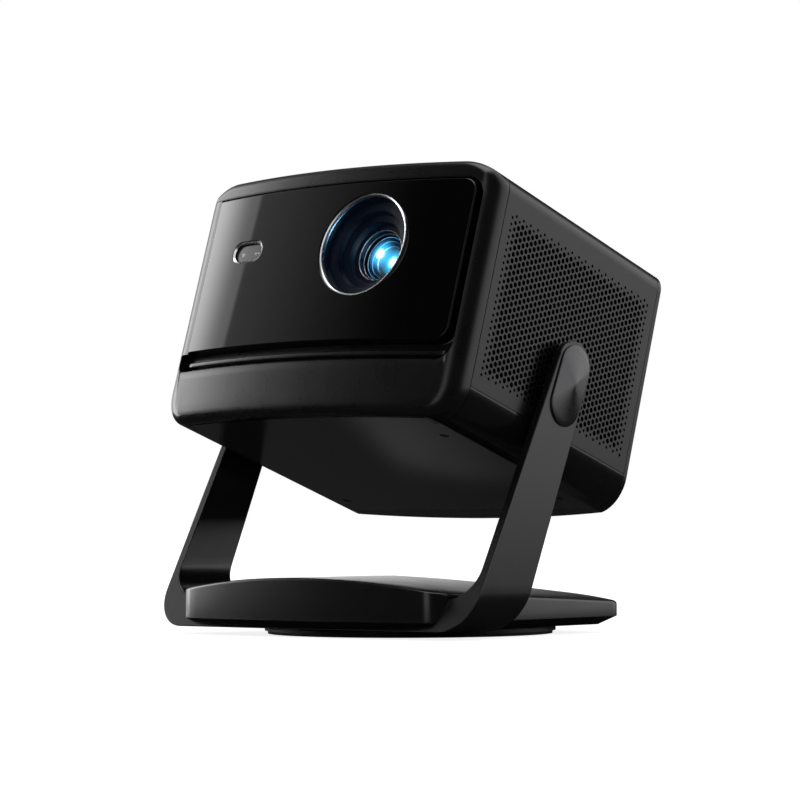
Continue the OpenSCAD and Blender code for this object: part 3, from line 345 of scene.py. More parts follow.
SCREW = finish("screw_black", 0.02, 0.03, (0.3, 0.4), metallic=0.6)
finish("steel_plain", 0.42, 0.5, (0.22, 0.34), metallic=1.0, grain=1800.0)
finish("brass_plain", (0.6, 0.42, 0.16), (0.68, 0.5, 0.22), (0.2, 0.3), metallic=1.0)
finish("sheet_aluminium", 0.5, 0.58, (0.3, 0.4), metallic=1.0, grain=900.0)
finish("copper_pipe", (0.62, 0.3, 0.18), (0.7, 0.38, 0.24), (0.2, 0.32), metallic=1.0)
finish("engine_dark", 0.08, 0.1, (0.4, 0.55))
finish("board_green", (0.012, 0.11, 0.045), (0.02, 0.15, 0.06), (0.3, 0.45))
finish("inner_black", 0.022, 0.03, (0.4, 0.5))
finish("button_grey", 0.035, 0.042, (0.38, 0.46))
TRIM = finish("trim_bright", 0.62, 0.7, (0.24, 0.3), metallic=1.0, bump=0.0)


def cloth_material():
    """A plain weave: two sets of threads, crossed."""
    _, nt, b = new_material("cloth_black")
    threads = [node(nt, "TexWave", {"Scale": THREADS, "Vector": place_in(nt)}, bands_direction=axis)
               for axis in "YZ"]
    weave = maths(nt, "MULTIPLY", *[t.outputs["Fac"] for t in threads])
    fill(nt, b, {"Roughness": 0.9, "Specular IOR Level": 0.1,
                 "Base Color": coloured(nt, weave, 0.002, 0.006),
                 "Normal": bumped(nt, weave, 0.4, 0.1)})


cloth_material()


# -------------------- front geometry

def plan_y(x, g=0.0):
    """y of the bezel's face at x, g behind it."""
    tangent = CORNER_X * (FACE_R - g) / (FACE_R - CORNER_R)
    if abs(x) <= tangent:
        return FACE_C - sqrt((FACE_R - g) ** 2 - x * x)
    r = CORNER_R - g
    return CORNER_Y - sqrt(max(r * r - (abs(x) - CORNER_X) ** 2, 0.0))


def plan_normal(x, g=0.0):
    tangent = CORNER_X * (FACE_R - g) / (FACE_R - CORNER_R)
    if abs(x) <= tangent:
        a = asin(x / (FACE_R - g))
    else:
        a = copysign(asin(min((abs(x) - CORNER_X) / (CORNER_R - g), 1.0)), x)
    return Vector((sin(a), -cos(a), 0))


def corner_round(nx, nz):
    """Radius of the bezel's front edge for an outline normal."""
    return CORNER_R * nx * nx + (UPPER_R if nz > 0 else LOWER_R) * nz * nz


def halved(lo, hi, below, steps):
    """Bisection between lo, where below() holds, and hi, where it doesn't."""
    for _ in range(steps):
        mid = (lo + hi) / 2
        if below(mid):
            lo = mid
        else:
            hi = mid
    return hi


def tangent_round(ox, nx, r):
    """Circle that touches the side and the bulging face: y of its centre, and how far in it ends."""
    def gap(y0):
        best, where = 1e9, 0.0
        for i in range(61):
            d = r * 1.2 * i / 60                 # to a little beyond where the circle can touch
            x = ox - nx * d
            away = hypot(d - r, FACE_C - sqrt(FACE_R ** 2 - x * x) - y0)
            if away < best:
                best, where = away, d
        return best - r, where
    face = FACE_C - sqrt(FACE_R ** 2 - ox * ox)
    y = halved(face, face + 2 * r, lambda y0: gap(y0)[0] < 0, 26)
    return y, gap(y)[1]


def rounded_box(x0, x1, z0, z1, r_left, r_right, steps=10):
    """Closed outline with normals, counter-clockwise seen from the front, starting low in the middle."""
    m = (x0 + x1) / 2
    return tidy_row(
        line(m, z0, x1 - r_right, z0, 1, 0, -1)
        + arc(x1 - r_right, z0 + r_right, r_right, -90, 0, steps)
        + arc(x1 - r_right, z1 - r_right, r_right, 0, 90, steps)
        + arc(x0 + r_left, z1 - r_left, r_left, 90, 180, steps)
        + arc(x0 + r_left, z0 + r_left, r_left, 180, 270, steps)
        + line(x0 + r_left, z0, m, z0, 1, 0, -1))[:-1]


POCKET = (POCKET_L, PANEL_R + CHANNEL, LIP, PANEL_TOP + TOP_GAP)
POCKET_R = (POCKET_LOW_LEFT_R, PANEL_LEFT_R, PANEL_RIGHT_R + 2)


def in_box(x, z, box, radii):
    """Distance to a rounded box's edge, negative inside. Radii: low left, high left, right."""
    cx, cz = (box[0] + box[1]) / 2, (box[2] + box[3]) / 2
    r = radii[2] if x > 0 else radii[0] if z < cz else radii[1]
    qx = abs(x - cx) - (box[1] - box[0]) / 2 + r
    qz = abs(z - cz) - (box[3] - box[2]) / 2 + r
    return hypot(max(qx, 0), max(qz, 0)) + min(max(qx, qz), 0) - r


def pocket_hit(ox, oz, nx, nz):
    """Where a line from the outline, square to it, first meets the pocket."""
    def outside(d):
        return in_box(ox - nx * d, oz - nz * d, POCKET, POCKET_R) > 0
    lo, hi = 0.0, 0.0
    while outside(hi):
        lo, hi = hi, hi + 1.5
    hi = halved(lo, hi, outside, 30)
    return ox - nx * hi, oz - nz * hi


def along(rows, t):
    """Point at share t of a polyline's length."""
    lens = [hypot(b[0] - a[0], b[1] - a[1]) for a, b in zip(rows, rows[1:])]
    left = t * sum(lens)
    for (a, b), l in zip(zip(rows, rows[1:]), lens):
        if left <= l:
            k = left / l if l else 0
            return (a[0] + (b[0] - a[0]) * k, a[1] + (b[1] - a[1]) * k)
        left -= l
    return rows[-1][:2]


def bezel_outline():
    """(x, z, nx, nz, pocket point) round the bezel, right half then left half."""
    def half(side):
        pr = POCKET_R[2] if side > 0 else POCKET_R[0]
        px = POCKET[1] if side > 0 else -POCKET[0]
        turn = px - pr                                     # where the pocket's corner starts
        x_end = min(turn, CREASE_X)
        start_z = LIP + pr
        rows = line(0, BOTTOM, SILL_X + SIDE_GAP, BOTTOM, 26, 0, -1)
        rows += line(SILL_X + SIDE_GAP, BOTTOM, x_end, BOTTOM, 1, 0, -1)
        low = [(*r, (r[0], LIP)) for r in tidy_row(rows)]
        bend = line(x_end, BOTTOM, CREASE_X, BOTTOM, 1, 0, -1) if x_end < CREASE_X - 1e-6 else []
        bend = tidy_row(bend + arc(*LOWER_C, BOTTOM_R, -90 - CREASE_DEG, 0, 22)
                        + line(HALF_W, LOWER_C[1], HALF_W, start_z, 8, 1, 0))
        inner = tidy_row(line(x_end, LIP, turn, LIP, 4, 0, 0) + arc(turn, LIP + pr, pr, -90, 0, 10))
        total = [0.0]
        for a, b in zip(bend, bend[1:]):
            total.append(total[-1] + hypot(b[0] - a[0], b[1] - a[1]))
        mid = [(*r, along(inner, t / total[-1])) for r, t in zip(bend, total)]
        high = []
        for x, z, nx, nz in upper_outline(start_z, 20, 16, 12, 26):
            hx, hz = pocket_hit(x * side, z, nx * side, nz)
            high.append((x, z, nx, nz, (hx * side, hz)))
        return [(x * side, z, nx * side, nz, (q[0] * side, q[1]))
                for x, z, nx, nz, q in tidy_row(low + mid + high)]
    right, left = half(1), half(-1)
    return right + list(reversed(left))[1:-1]


def bezel_section(x, z, nx, nz, q, sill):
    """One cut through the bezel, as points from the seam round the front into the pocket and back."""
    r = corner_round(nx, nz)
    y0, d2 = tangent_round(x, nx, r)
    reach = (x - q[0]) * nx + (z - q[1]) * nz              # how far in the pocket's edge is
    pts = []
    if sill:
        ys = FACE_C - sqrt((FACE_R - LOWER_R - 0.2) ** 2 - x * x)
        inner_z = BOTTOM + WALL + SIDE_GAP
        pts += [(x, ys, inner_z), (x, ys, z + 0.2), (x, ys - 0.1, z)]
    else:
        pts += [(x - nx * 0.25, SEAM_A, z - nz * 0.25), (x, SEAM_A - 0.25, z), (x, (SEAM_A + y0) / 2, z)]
    d_arc = min(d2, max(reach - EDGE_IN, 0.1))
    turn = acos(max(min(1 - d_arc / r, 1.0), -1.0))
    for i in range(EDGE_STEPS + 1):
        d = r * (1 - cos(turn * i / EDGE_STEPS))
        pts.append((x - nx * d, y0 - sqrt(max(r * r - (r - d) ** 2, 0)), z - nz * d))
    ax, az = x - nx * d_arc, z - nz * d_arc
    length = hypot(q[0] - ax, q[1] - az)
    ux, uz = ((q[0] - ax) / length, (q[1] - az) / length) if length > 1e-6 else (-nx, -nz)
    in_arc = reach < d2
    for i in range(1, FACE_STEPS + 1):
        s = max(length - EDGE_IN, 0.0) * i / FACE_STEPS
        px, pz = ax + ux * s, az + uz * s
        d = (x - px) * nx + (z - pz) * nz
        if in_arc:
            py = y0 - sqrt(max(r * r - (r - min(d, r)) ** 2, 0))
        else:
            py = FACE_C - sqrt(FACE_R ** 2 - px * px)
        pts.append((px, py, pz))
    last = pts[-1]
    pts.append((last[0] + (q[0] - last[0]) * 0.7, last[1] + EDGE_IN * 0.3,
                last[2] + (q[1] - last[2]) * 0.7))
    pts.append((q[0], last[1] + EDGE_IN, q[1]))
    pts.append((q[0], plan_y(q[0], PANEL_BACK) if abs(q[0]) < HALF_W - PANEL_BACK else last[1] + 3, q[1]))
    fx, fz = q[0] + ux * FLOOR_IN, q[1] + uz * FLOOR_IN
    pts += [(fx, plan_y(fx, g), fz) for g in (PANEL_BACK, PANEL_BACK + FLOOR_T)]
    bx, bz = x - nx * WALL, z - nz * WALL
    y_floor = plan_y(bx, PANEL_BACK + FLOOR_T)
    if sill:
        return pts + [(bx, y_floor, inner_z)] * 2          # every cut has the same number of points
    if abs(bx) >= HALF_W - CORNER_CLEAR:
        y_floor = CORNER_Y
    return pts + [(bx, max(y_floor, last[1] + 8), bz), (bx, SEAM_A, bz)]


def front_bezel():
    s = Shape()
    cuts = []
    for x, z, nx, nz, q in bezel_outline():
        low = abs(z - BOTTOM) < 1e-6 and nz < -0.99
        inside = low and abs(x) < SILL_X + SIDE_GAP - 1e-6
        if low and abs(abs(x) - SILL_X - SIDE_GAP) < 1e-6:
            both = [bezel_section(x, z, nx, nz, q, True), bezel_section(x, z, nx, nz, q, False)]
            cuts += both if x > 0 else both[::-1]
        else:
            cuts.append(bezel_section(x, z, nx, nz, q, inside))
    for a, b in zip(cuts, cuts[1:] + cuts[:1]):
        s.band(b, a, closed=True)
    ledge(s)
    s.build("bezel_front", "head", [CASING], nodes=["front_bezel"], smooth=32)


def ledge(s):
    """The rounded bar in the groove, a closed body of its own."""
    def cut(x, shrink):
        h, r = LEDGE_H / 2 - shrink, max(1.1 - shrink, 0.2)
        y_f = plan_y(x, PANEL_BACK - LEDGE_D + shrink)
        y_b = plan_y(x, PANEL_BACK + 0.5)
        low, high = LEDGE_Z - h, LEDGE_Z + h
        return ([(x, y_b, low)]
                + [(x, y_f + r - r * sin(a), low + r - r * cos(a)) for a in quarter(5)]
                + [(x, y_f + r - r * cos(a), high - r + r * sin(a)) for a in quarter(5)]
                + [(x, y_b, high)])
    half = LEDGE_HALF
    xs = [(-half, 0.9), (-half + 0.3, 0.4), (-half + 0.9, 0.0)]
    xs += [(-half + 0.9 + (2 * half - 1.8) * i / 60, 0.0) for i in range(1, 60)]
    xs += [(half - 0.9, 0.0), (half - 0.3, 0.4), (half, 0.9)]
    s.skin([cut(*c) for c in xs], ends=True)


def bezel_strip():
    """The bezel's rounded left border beside the panel, which ends above the groove."""
    s = Shape()
    end, soft, sink = PANEL_L - SIDE_GAP, 0.4, 0.02
    flat = end - soft
    front = [(x, plan_y(x, sink)) for x in [POCKET_L + (flat - POCKET_L) * i / 12 for i in range(13)]]
    y_edge = plan_y(flat, sink)
    front += [(flat + soft * sin(a), y_edge + soft * (1 - cos(a))) for a in quarter(4)[1:]]
    section = front + [(end, CORNER_Y - CORNER_BACK), (POCKET_L, CORNER_Y - CORNER_BACK)]
    s.skin([[(x, y, z) for x, y in section] for z in (PANEL_LOW - 0.3, PANEL_TOP + TOP_GAP)], ends=True)
    s.build("bezel_strip", "head", [CASING], smooth=32)


def pill_rows(s, profile, slot=0):
    """Bands along the sensor window's outline; profile is (growth, depth behind the panel's face)."""
    s.skin([[(x, plan_y(x, depth - PROUD), z) for x, z in pill_loop(PILL_X, PILL_Z, PILL_L, PILL_H, grow)]
            for grow, depth in profile], slot=slot)


def sensor():
    """The sloping rim, the window deep in it and the three bright eyes on the window."""
    s = Shape()
    pill_rows(s, [(-RIM_IN, RIM_BACK), (0.0, RIM_BACK), (0.0, 0.3), (-0.1, 0.16), (-RIM_IN, RIM_D)])
    # The rim's inner wall takes the dark finish painted as shade in the recess.
    pill_rows(s, [(-RIM_IN, RIM_D), (-RIM_IN, RIM_BACK)], slot=1)
    s.build("sensor_rim", "head", [TRIM, HOLE_SHADE], smooth=30)
    s = Shape()
    pill_rows(s, [(-RIM_IN, SENSOR_BACK), (-RIM_IN, SENSOR_D)])
    for depth, way in ((SENSOR_D, 1), (SENSOR_BACK, -1)):
        for c in fill_2d([pill_loop(PILL_X, PILL_Z, PILL_L, PILL_H, -RIM_IN)]):
            s.face([(x, plan_y(x, depth - PROUD), z) for x, z in c][::way])
    s.build("sensor_front", "head", [WINDOW], nodes=["sensor_window"], smooth=30)
    s = Shape()
    for off, r in EYES:
        cx = PILL_X + off
        y = plan_y(cx, SENSOR_D - PROUD)
        s.skin([[(px, y - EYE_RISE * h, pz) for px, pz in circle_loop(cx, PILL_Z - EYE_DROP, r * c, 20)]
                for c, h in ((1.0, -1.0), (1.0, 0.3), (0.85, 0.75), (0.5, 0.95))], ends=True)
    s.build("sensor_spots", "head", [EYE], nodes=["sensor_lenses"], smooth=50)


def fill_2d(loops, inner=()):
    """Triangles between the first loop and the convex holes, all in 2-D, with extra points inside."""
    coords, edges, owner = [], [], []
    for k, l in enumerate(loops):
        base = len(coords)
        coords += l
        owner += [k] * len(l)
        edges += [(base + i, base + (i + 1) % len(l)) for i in range(len(l))]
    coords += inner
    owner += [-1] * len(inner)
    _, _, tris, source, _, _ = delaunay_2d_cdt([Vector(p) for p in coords], edges, [], 0, 1e-7, True)
    out = []
    for t in tris:
        ids = [source[i][0] for i in t]
        who = {owner[i] for i in ids}
        q = [coords[i] for i in ids]
        if len(who) == 1 and who != {-1}:
            mid = (sum(p[0] for p in q) / 3, sum(p[1] for p in q) / 3)
            if who != {0} or not loop_inside(mid, loops[0]):
                continue
        area = (q[1][0] - q[0][0]) * (q[2][1] - q[0][1]) - (q[2][0] - q[0][0]) * (q[1][1] - q[0][1])
        out.append(q if area > 0 else q[::-1])
    return out


def loop_inside(p, loop):
    x, y = p
    inside = False
    for (x0, y0), (x1, y1) in zip(loop, loop[1:] + loop[:1]):
        if (y0 > y) != (y1 > y) and x < (x1 - x0) * (y - y0) / (y1 - y0) + x0:
            inside = not inside
    return inside


def circle_loop(cx, cz, r, n, phase=0.0):
    return [(cx + r * cos(2 * pi * i / n + phase), cz + r * sin(2 * pi * i / n + phase))
            for i in range(n)]


def pill_loop(cx, cz, l, h, grow=0.0, steps=14):
    r, half = h / 2 + grow, (l - h) / 2
    pts = arc(cx + half, cz, r, -90, 90, steps) + arc(cx - half, cz, r, 90, 270, steps)
    return [(p[0], p[1]) for p in pts]


def spread(rows, step):
    """The same closed outline with more points, about a step apart."""
    out = []
    for a, b in zip(rows, rows[1:] + rows[:1]):
        n = max(int(hypot(b[0] - a[0], b[1] - a[1]) / step), 1)
        out += [tuple(u + (v - u) * t for u, v in zip(a, b)) for t in [i / n for i in range(n)]]
    return out


def panel_back(x):
    """y of the panel's back, kept inside the bezel's rounded corner."""
    return plan_y(x, PANEL_BACK) if abs(x) < HALF_W - PANEL_BACK - 0.2 else CORNER_Y - CORNER_BACK


def panel_grid():
    """Points inside the panel's outline that make its bulge even."""
    def clear(x, z):
        return (hypot(x - LENS_X, z - LENS_Z) > HOLE_R + 2.5
                and not (abs(x - PILL_X) < PILL_L / 2 + 2 and abs(z - PILL_Z) < PILL_H / 2 + 2)
                and in_box(x, z, (PANEL_L, PANEL_R, PANEL_LOW, PANEL_TOP),
                           (PANEL_LEFT_R, PANEL_LEFT_R, PANEL_RIGHT_R)) < -2)
    grid = []
    x = PANEL_L + 4
    while x < PANEL_R - 2:
        z = PANEL_LOW + 4
        while z < PANEL_TOP - 2:
            if clear(x, z):
                grid.append((x, z))
            z += 6
        x += 3.5
    return grid


def front_panel():
    s = Shape()
    g = -PROUD
    outer = spread(rounded_box(PANEL_L, PANEL_R, PANEL_LOW, PANEL_TOP, PANEL_LEFT_R, PANEL_RIGHT_R, 12), 4)
    side_n = [Vector((nx, 0, nz)).normalized() for _, _, nx, nz in outer]
    rows = [([(x, panel_back(x), z) for x, z, _, _ in outer], side_n)]
    for a in quarter(4):                                 # the rounded edge, from the side to the face
        inset = PANEL_EDGE * (1 - cos(a))
        pts, nrm = [], []
        for x, z, nx, nz in outer:
            l = hypot(nx, nz)
            nx, nz = nx / l, nz / l
            px = x - nx * inset
            pts.append((px, plan_y(px, g) + PANEL_EDGE * (1 - sin(a)), z - nz * inset))
            nrm.append((Vector((nx, 0, nz)) * cos(a) + plan_normal(px, g) * sin(a)).normalized())
        rows.append((pts, nrm))
    s.band(rows[0][0], rows[1][0], side_n, side_n, closed=True)
    for (a, na), (b, nb) in zip(rows[1:], rows[2:]):
        s.band(a, b, na, nb, closed=True)

    lens, pill = (LENS_X, LENS_Z, HOLE_R), (PILL_X, PILL_Z, PILL_L, PILL_H)
    lens_loop = circle_loop(LENS_X, LENS_Z, HOLE_R + LENS_EDGE, 128)
    pill_front = pill_loop(*pill, PILL_EDGE)
    grid = panel_grid()
    for c in fill_2d([[(p[0], p[2]) for p in rows[-1][0]], lens_loop, pill_front], grid):
        s.face([(x, plan_y(x, g), z) for x, z in c], [plan_normal(x, g) for x, _ in c])
    for c in fill_2d([[(p[0], p[2]) for p in rows[0][0]], circle_loop(*lens, 128), pill_loop(*pill)], grid):
        s.face([(x, panel_back(x), z) for x, z in c[::-1]])
    for loop, cx, cz, half, grow in ((lens_loop, LENS_X, LENS_Z, 0.0, LENS_EDGE),
                                     (pill_front, PILL_X, PILL_Z, (PILL_L - PILL_H) / 2, PILL_EDGE)):
        rows = []
        for a in quarter(3):                             # the opening's rounded edge, from the face inwards
            row, nrm = [], []
            for px, pz in loop:
                d = Vector((px - min(max(px, cx - half), cx + half), 0, pz - cz)).normalized()
                row.append((px - d.x * grow * sin(a), plan_y(px, g) + grow * (1 - cos(a)),
                            pz - d.z * grow * sin(a)))
                nrm.append((plan_normal(px, g) * cos(a) - d * sin(a)).normalized())
            rows.append((row, nrm))
        rows.append(([(x, plan_y(x, PANEL_BACK), z) for x, _, z in row], nrm))
        for (a, na), (b, nb) in zip(rows, rows[1:]):
            s.band(a, b, na, nb, closed=True)
    s.build("panel_front", "head", [PANEL], nodes=["front_panel"])


# -------------------- head shell with drilled sides

def hole_rows():
    """(y, z, radius) of every hole in a side wall."""
    out = []
    for i in range(HOLE_COLS):
        y = HOLE_Y0 + i * HOLE_DY
        z = HOLE_LOW + (HOLE_DZ / 2 if i % 2 else 0)
        col = []
        while z <= HOLE_HIGH + 0.1:
            col.append(z)
            z += HOLE_DZ
        for j, zz in enumerate(col):
            rim = min(i, HOLE_COLS - 1 - i, 2 * j, 2 * (len(col) - 1 - j))
            r = HOLE_RAD_EDGE + (HOLE_RAD - HOLE_RAD_EDGE) * min(rim / 2, 1.0)
            if hypot(y, zz) > SHAFT_CLEAR:
                out.append((y, zz, r))
    return out


def head_shell():
    s = Shape()
    y0, y1 = SEAM_A + SEAM_GAP, REAR_END
    z0 = SEAM_B + SEAM_GAP / 2
    c = SEAM_CHAMFER
    holes = hole_rows() + [(0, 0, SHAFT_R)]
    loops = [circle_loop(y, z, r, HOLE_SIDES, HOLE_TURN) for y, z, r in holes[:-1]]
    shaft = circle_loop(0, 0, SHAFT_R, 40)
    for side in (1, -1):
        for inset, facing, m in ((0.0, 1, c), (WALL, -1, 0.0)):
            x = side * (HALF_W - inset)
            outer = [(y0 + m, z0 + m), (y1 - m, z0 + m), (y1 - m, UPPER_C[1]), (y0 + m, UPPER_C[1])]
            n = Vector((side * facing, 0, 0))
            for q in fill_2d([outer, shaft] + loops):
                s.face([(x, y, z) for y, z in q[::side * facing]], [n] * 3, int(inset > 0))
        # The holes' walls, like the inner skin, take the dark finish painted as shade in the holes.
        for (y, z, r), l in zip(holes, loops + [shaft]):
            walls = [[(side * (HALF_W - inset), p[0], p[1]) for p in l] for inset in (0.0, WALL)]
            nr = [Vector((0, y - p[0], z - p[1])).normalized() for p in l]
            s.band(*walls[::side], nr, nr, closed=True, slot=1)
    # the arch over the flat sides, then the two ends and the lower edges with their small chamfer
    arch = mirrored(upper_outline(UPPER_C[1], 1, 14, 10, 2))
    rows = [[(x - nx * inset, y, z - nz * inset) for x, z, nx, nz in arch]
            for inset, y in ((0.0, y0 + c), (0.0, y1 - c), (c, y1), (WALL, y1), (WALL, y0), (c, y0))]
    nr = [Vector((nx, 0, nz)) for _, _, nx, nz in arch]
    inward = [-n for n in nr]
    for a, b, n in ((1, 0, nr), (2, 1, None), (3, 2, None), (4, 3, inward), (5, 4, None), (0, 5, None)):
        s.band(rows[a], rows[b], n, n)
    for side in (1, -1):
        cut = []
        for inset, m in ((0.0, c), (c, 0.0), (WALL, 0.0)):
            x, low = side * (HALF_W - inset), z0 + m
            cut.append([(x, y, z) for y, z in ((y0 + m, UPPER_C[1]), (y0 + m, low), (y1 - m, low),
                                               (y1 - m, UPPER_C[1]))])
        for pair in zip(cut, cut[1:]):
            s.band(*pair[::-side])
    s.build("shell_drilled", "head", [CASING, HOLE_SHADE], nodes=["head_shell"])


# -------------------- yoke

def band_edges(z):
    """Front and rear y of the yoke's band at height z above the table."""
    t = z - PIVOT
    f_top, r_top = END_RISE + ARM_END_R * sin(LEAN_F), END_RISE - ARM_END_R * sin(LEAN_R)
    round_end = sqrt(max(ARM_END_R ** 2 - (t - END_RISE) ** 2, 0))
    f = END_Y - ARM_END_R * cos(LEAN_F) - (f_top - t) * tan(LEAN_F)
    r = END_Y + ARM_END_R * cos(LEAN_R) - (r_top - t) * tan(LEAN_R)
    return END_Y - round_end if t > f_top else f, END_Y + round_end if t > r_top else r


def yoke():
    s = Shape()
    start = PIVOT + END_RISE

    def side(x, r, z):
        """x and z down one side of the arm, round its bend and along the bar to the middle."""
        low = z + r
        return ([(x, start + ARM_END_R * cos(a)) for a in quarter(40)]
                + [(x, start + (low - start) * i / 24) for i in range(1, 25)]
                + [(x - r + r * cos(a), low - r * sin(a)) for a in quarter(16)[1:]]
                + [((x - r) * (1 - i / 8), z) for i in range(1, 9)])
    rows = list(zip(side(ARM_OUT, YOKE_R_OUT, YOKE_Z), side(ARM_IN, YOKE_R_IN, BAR_TOP)))
    rows += [((-o[0], o[1]), (-n[0], n[1])) for o, n in reversed(rows[:-1])]
    cuts = []
    for o, n in rows:
        k = YOKE_BEVEL / hypot(o[0] - n[0], o[1] - n[1])
        bevel = [(k * (1 - cos(a)), 1 - sin(a)) for a in quarter(4)]
        half = [(0, YOKE_LOOP)] + bevel + [(YOKE_LOOP * k, 0)]
        half += [(1 - t, edge) for t, edge in reversed(half)]
        pts, back = [], []
        for t, edge in half:
            x, z = o[0] + (n[0] - o[0]) * t, o[1] + (n[1] - o[1]) * t
            f, r = band_edges(z)
            c = min(YOKE_BEVEL * edge, (r - f) / 2)
            pts.append((x, f + c, z))
            back.append((x, r - c, z))
        cuts.append(pts + back[::-1])
    s.skin(cuts, ends=True)
    s.build("yoke_arms", "base", [STAND], base_place, nodes=["yoke"], smooth=30)


# -------------------- pivot caps

def cap_outline(r, n=48, n_side=12):
    """Stadium outline about the tilt axis: y, z."""
    c1 = (END_Y, END_RISE)
    c2 = (END_Y - CAP_SPAN * sin(LEAN_R), END_RISE - CAP_SPAN * cos(LEAN_R))
    up = 90 - degrees(LEAN_R)

    def side(a, b, k):
        return [(a[0] + (b[0] - a[0]) * i / n_side - k * r * cos(LEAN_R),
                 a[1] + (b[1] - a[1]) * i / n_side + k * r * sin(LEAN_R)) for i in range(1, n_side)]
    ends = [[p[:2] for p in arc(*c, r, up + a, up + a + 180, n)] for c, a in ((c1, -90), (c2, 90))]
    return ends[0] + side(c1, c2, 1) + ends[1] + side(c2, c1, -1)


def pivot_cap(sign, name, cad_node):
    """A low cone on the arm; its mirror image goes on the other arm."""
    s = Shape()
    rows = ((0, 0), (CAP_RIM - 0.45, 0), (CAP_RIM - 0.12, 0.15), (CAP_RIM, 0.5))
    loops = [[(ARM_OUT + up, y, z) for y, z in cap_outline(CAP_R - inset)] for up, inset in rows]
    top = loops[-1]
    apex_x = ARM_OUT + CAP_RIM + CAP_RISE
    for t in [k / 8 * 0.985 for k in range(1, 9)]:
        loops.append([(top[0][0] + (apex_x - top[0][0]) * t, p[1] * (1 - t), p[2] * (1 - t)) for p in top])
    s.skin(loops)
    s.fan(loops[-1], (apex_x - 0.02, 0, 0))
    s.face(loops[0][::-1])
    if sign < 0:
        s.points = [(-x, y, z) for x, y, z in s.points]
        s.faces = [f[::-1] for f in s.faces]
    s.build(name, "base", [CAP], arm_place, nodes=[cad_node], smooth=25)


def cap_material():
    """Spun metal: the brush's marks run in rings about the tilt axis."""
    m, nt, b = new_material("cap_black")
    at = node(nt, "Mapping", {"Vector": place_in(nt), "Location": (0, 0, -PIVOT * MM)}).outputs["Vector"]
    axes = node(nt, "SeparateXYZ", {"Vector": at}).outputs
    flat = node(nt, "CombineXYZ", {k: axes[k] for k in "YZ"}).outputs["Vector"]
    out = node(nt, "VectorMath", {0: flat}, operation="LENGTH").outputs["Value"]
    marks = {"Scale": 9000.0, "Detail": 2.0, "W": out}
    rings = node(nt, "TexNoise", marks, noise_dimensions="1D").outputs["Fac"]
    tangent = node(nt, "Tangent", direction_type="RADIAL", axis="X").outputs["Tangent"]
    fill(nt, b, {"Metallic": 0.9, "Anisotropic": 0.85, "Tangent": tangent,
                 "Base Color": coloured(nt, rings, 0.07, 0.1),
                 "Roughness": ranged(nt, rings, 0.22, 0.32)})
    return m


CAP = cap_material()


# -------------------- base

def base_outline(g, n_edge=30, n_corner=12):
    """Plan of the base drawn in by g, counter-clockwise from above, with normals."""
    hw = BASE_W / 2 - g
    fr = ((BASE_W / 2) ** 2 + BULGE_F ** 2) / (2 * BULGE_F) - g
    rr = ((BASE_W / 2) ** 2 + BULGE_B ** 2) / (2 * BULGE_B) - g
    r = BASE_CORNER - g / 2
    front, rear = BASE_F - g, BASE_B - g
    fy = -front + fr - sqrt((fr - r) ** 2 - (hw - r) ** 2)
    ry = rear - rr + sqrt((rr - r) ** 2 - (hw - r) ** 2)
    af, ar = degrees(asin((hw - r) / (fr - r))), degrees(asin((hw - r) / (rr - r)))
    rows = arc(0, fr - front, fr, -90 - af, -90 + af, n_edge)
    rows += arc(hw - r, fy, r, -90 + af, 0, n_corner)
    rows += arc(hw - r, ry, r, 0, 90 - ar, n_corner)
    rows += arc(0, rear - rr, rr, 90 - ar, 90 + ar, n_edge)
    rows += arc(-(hw - r), ry, r, 90 + ar, 180, n_corner)
    rows += arc(-(hw - r), fy, r, 180, 270 - af, n_corner)
    return tidy_row(rows)[:-1]


def crown_z(x, y):
    front = CROWN - CROWN_R + sqrt(CROWN_R ** 2 - x * x)
    rear = CROWN + (front - CROWN) / cos(SLOPE) - (y - SLOPE_Y) * tan(SLOPE)
    return min(front, rear)


def base_cover():
    s = Shape()
    outer = base_outline(0.0)
    rows = [[(x, y, PLATE_TOP + up) for x, y, _, _ in outer] for up in (0.0, 0.2)]
    for a in quarter(5):
        row = []
        for x, y, nx, ny in outer:
            inset = COVER_EDGE * (1 - cos(a))
            px, py = x - nx * inset, y - ny * inset
            row.append((px, py, crown_z(px, py) - COVER_EDGE * (1 - sin(a))))
        rows.append(row)
    edge = rows[-1]
    for t in [k / 9 for k in range(1, 9)]:
        plan = [(p[0] * (1 - t), p[1] + (SLOPE_Y - p[1]) * t) for p in edge]
        rows.append([(x, y, crown_z(x, y)) for x, y in plan])
    s.skin(rows)
    s.fan(rows[-1], (0, SLOPE_Y, CROWN))
    inner = [(x - nx * COVER_T, y - ny * COVER_T, PLATE_TOP) for x, y, nx, ny in outer]
    deep = [(x, y, crown_z(x, y) - COVER_T) for x, y, _ in inner]
    s.band(inner, rows[0], closed=True)
    s.band(deep, inner, closed=True)
    s.fan(deep, (0, SLOPE_Y, CROWN - COVER_T), flip=True)
    s.build("base_top", "base", [STAND], base_place, nodes=["base_cover"], smooth=28)


def base_plate():
    s = Shape()
    top, low = base_outline(0.0), base_outline(PLATE_INSET)
    rows = [[(x, y, z) for x, y, _, _ in outline]
            for outline, z in ((base_outline(PLATE_INSET + 0.3), BASE_Z), (low, BASE_Z + 0.25),
                               (top, PLATE_TOP - 0.4), (top, PLATE_TOP))]
    s.skin(rows)
    turns = [atan2(p[1], p[0]) for p in rows[0]]
    low_in, top_in = [[(BUSH_R * cos(t), BUSH_R * sin(t), z) for t in turns]
                      for z in (BASE_Z, PLATE_TOP)]
    s.band(low_in, rows[0], closed=True)
    s.skin([rows[-1], top_in, low_in])
    s.build("base_under", "base", [PLATE], base_place, nodes=["base_plate"], smooth=25)


# -------------------- lens

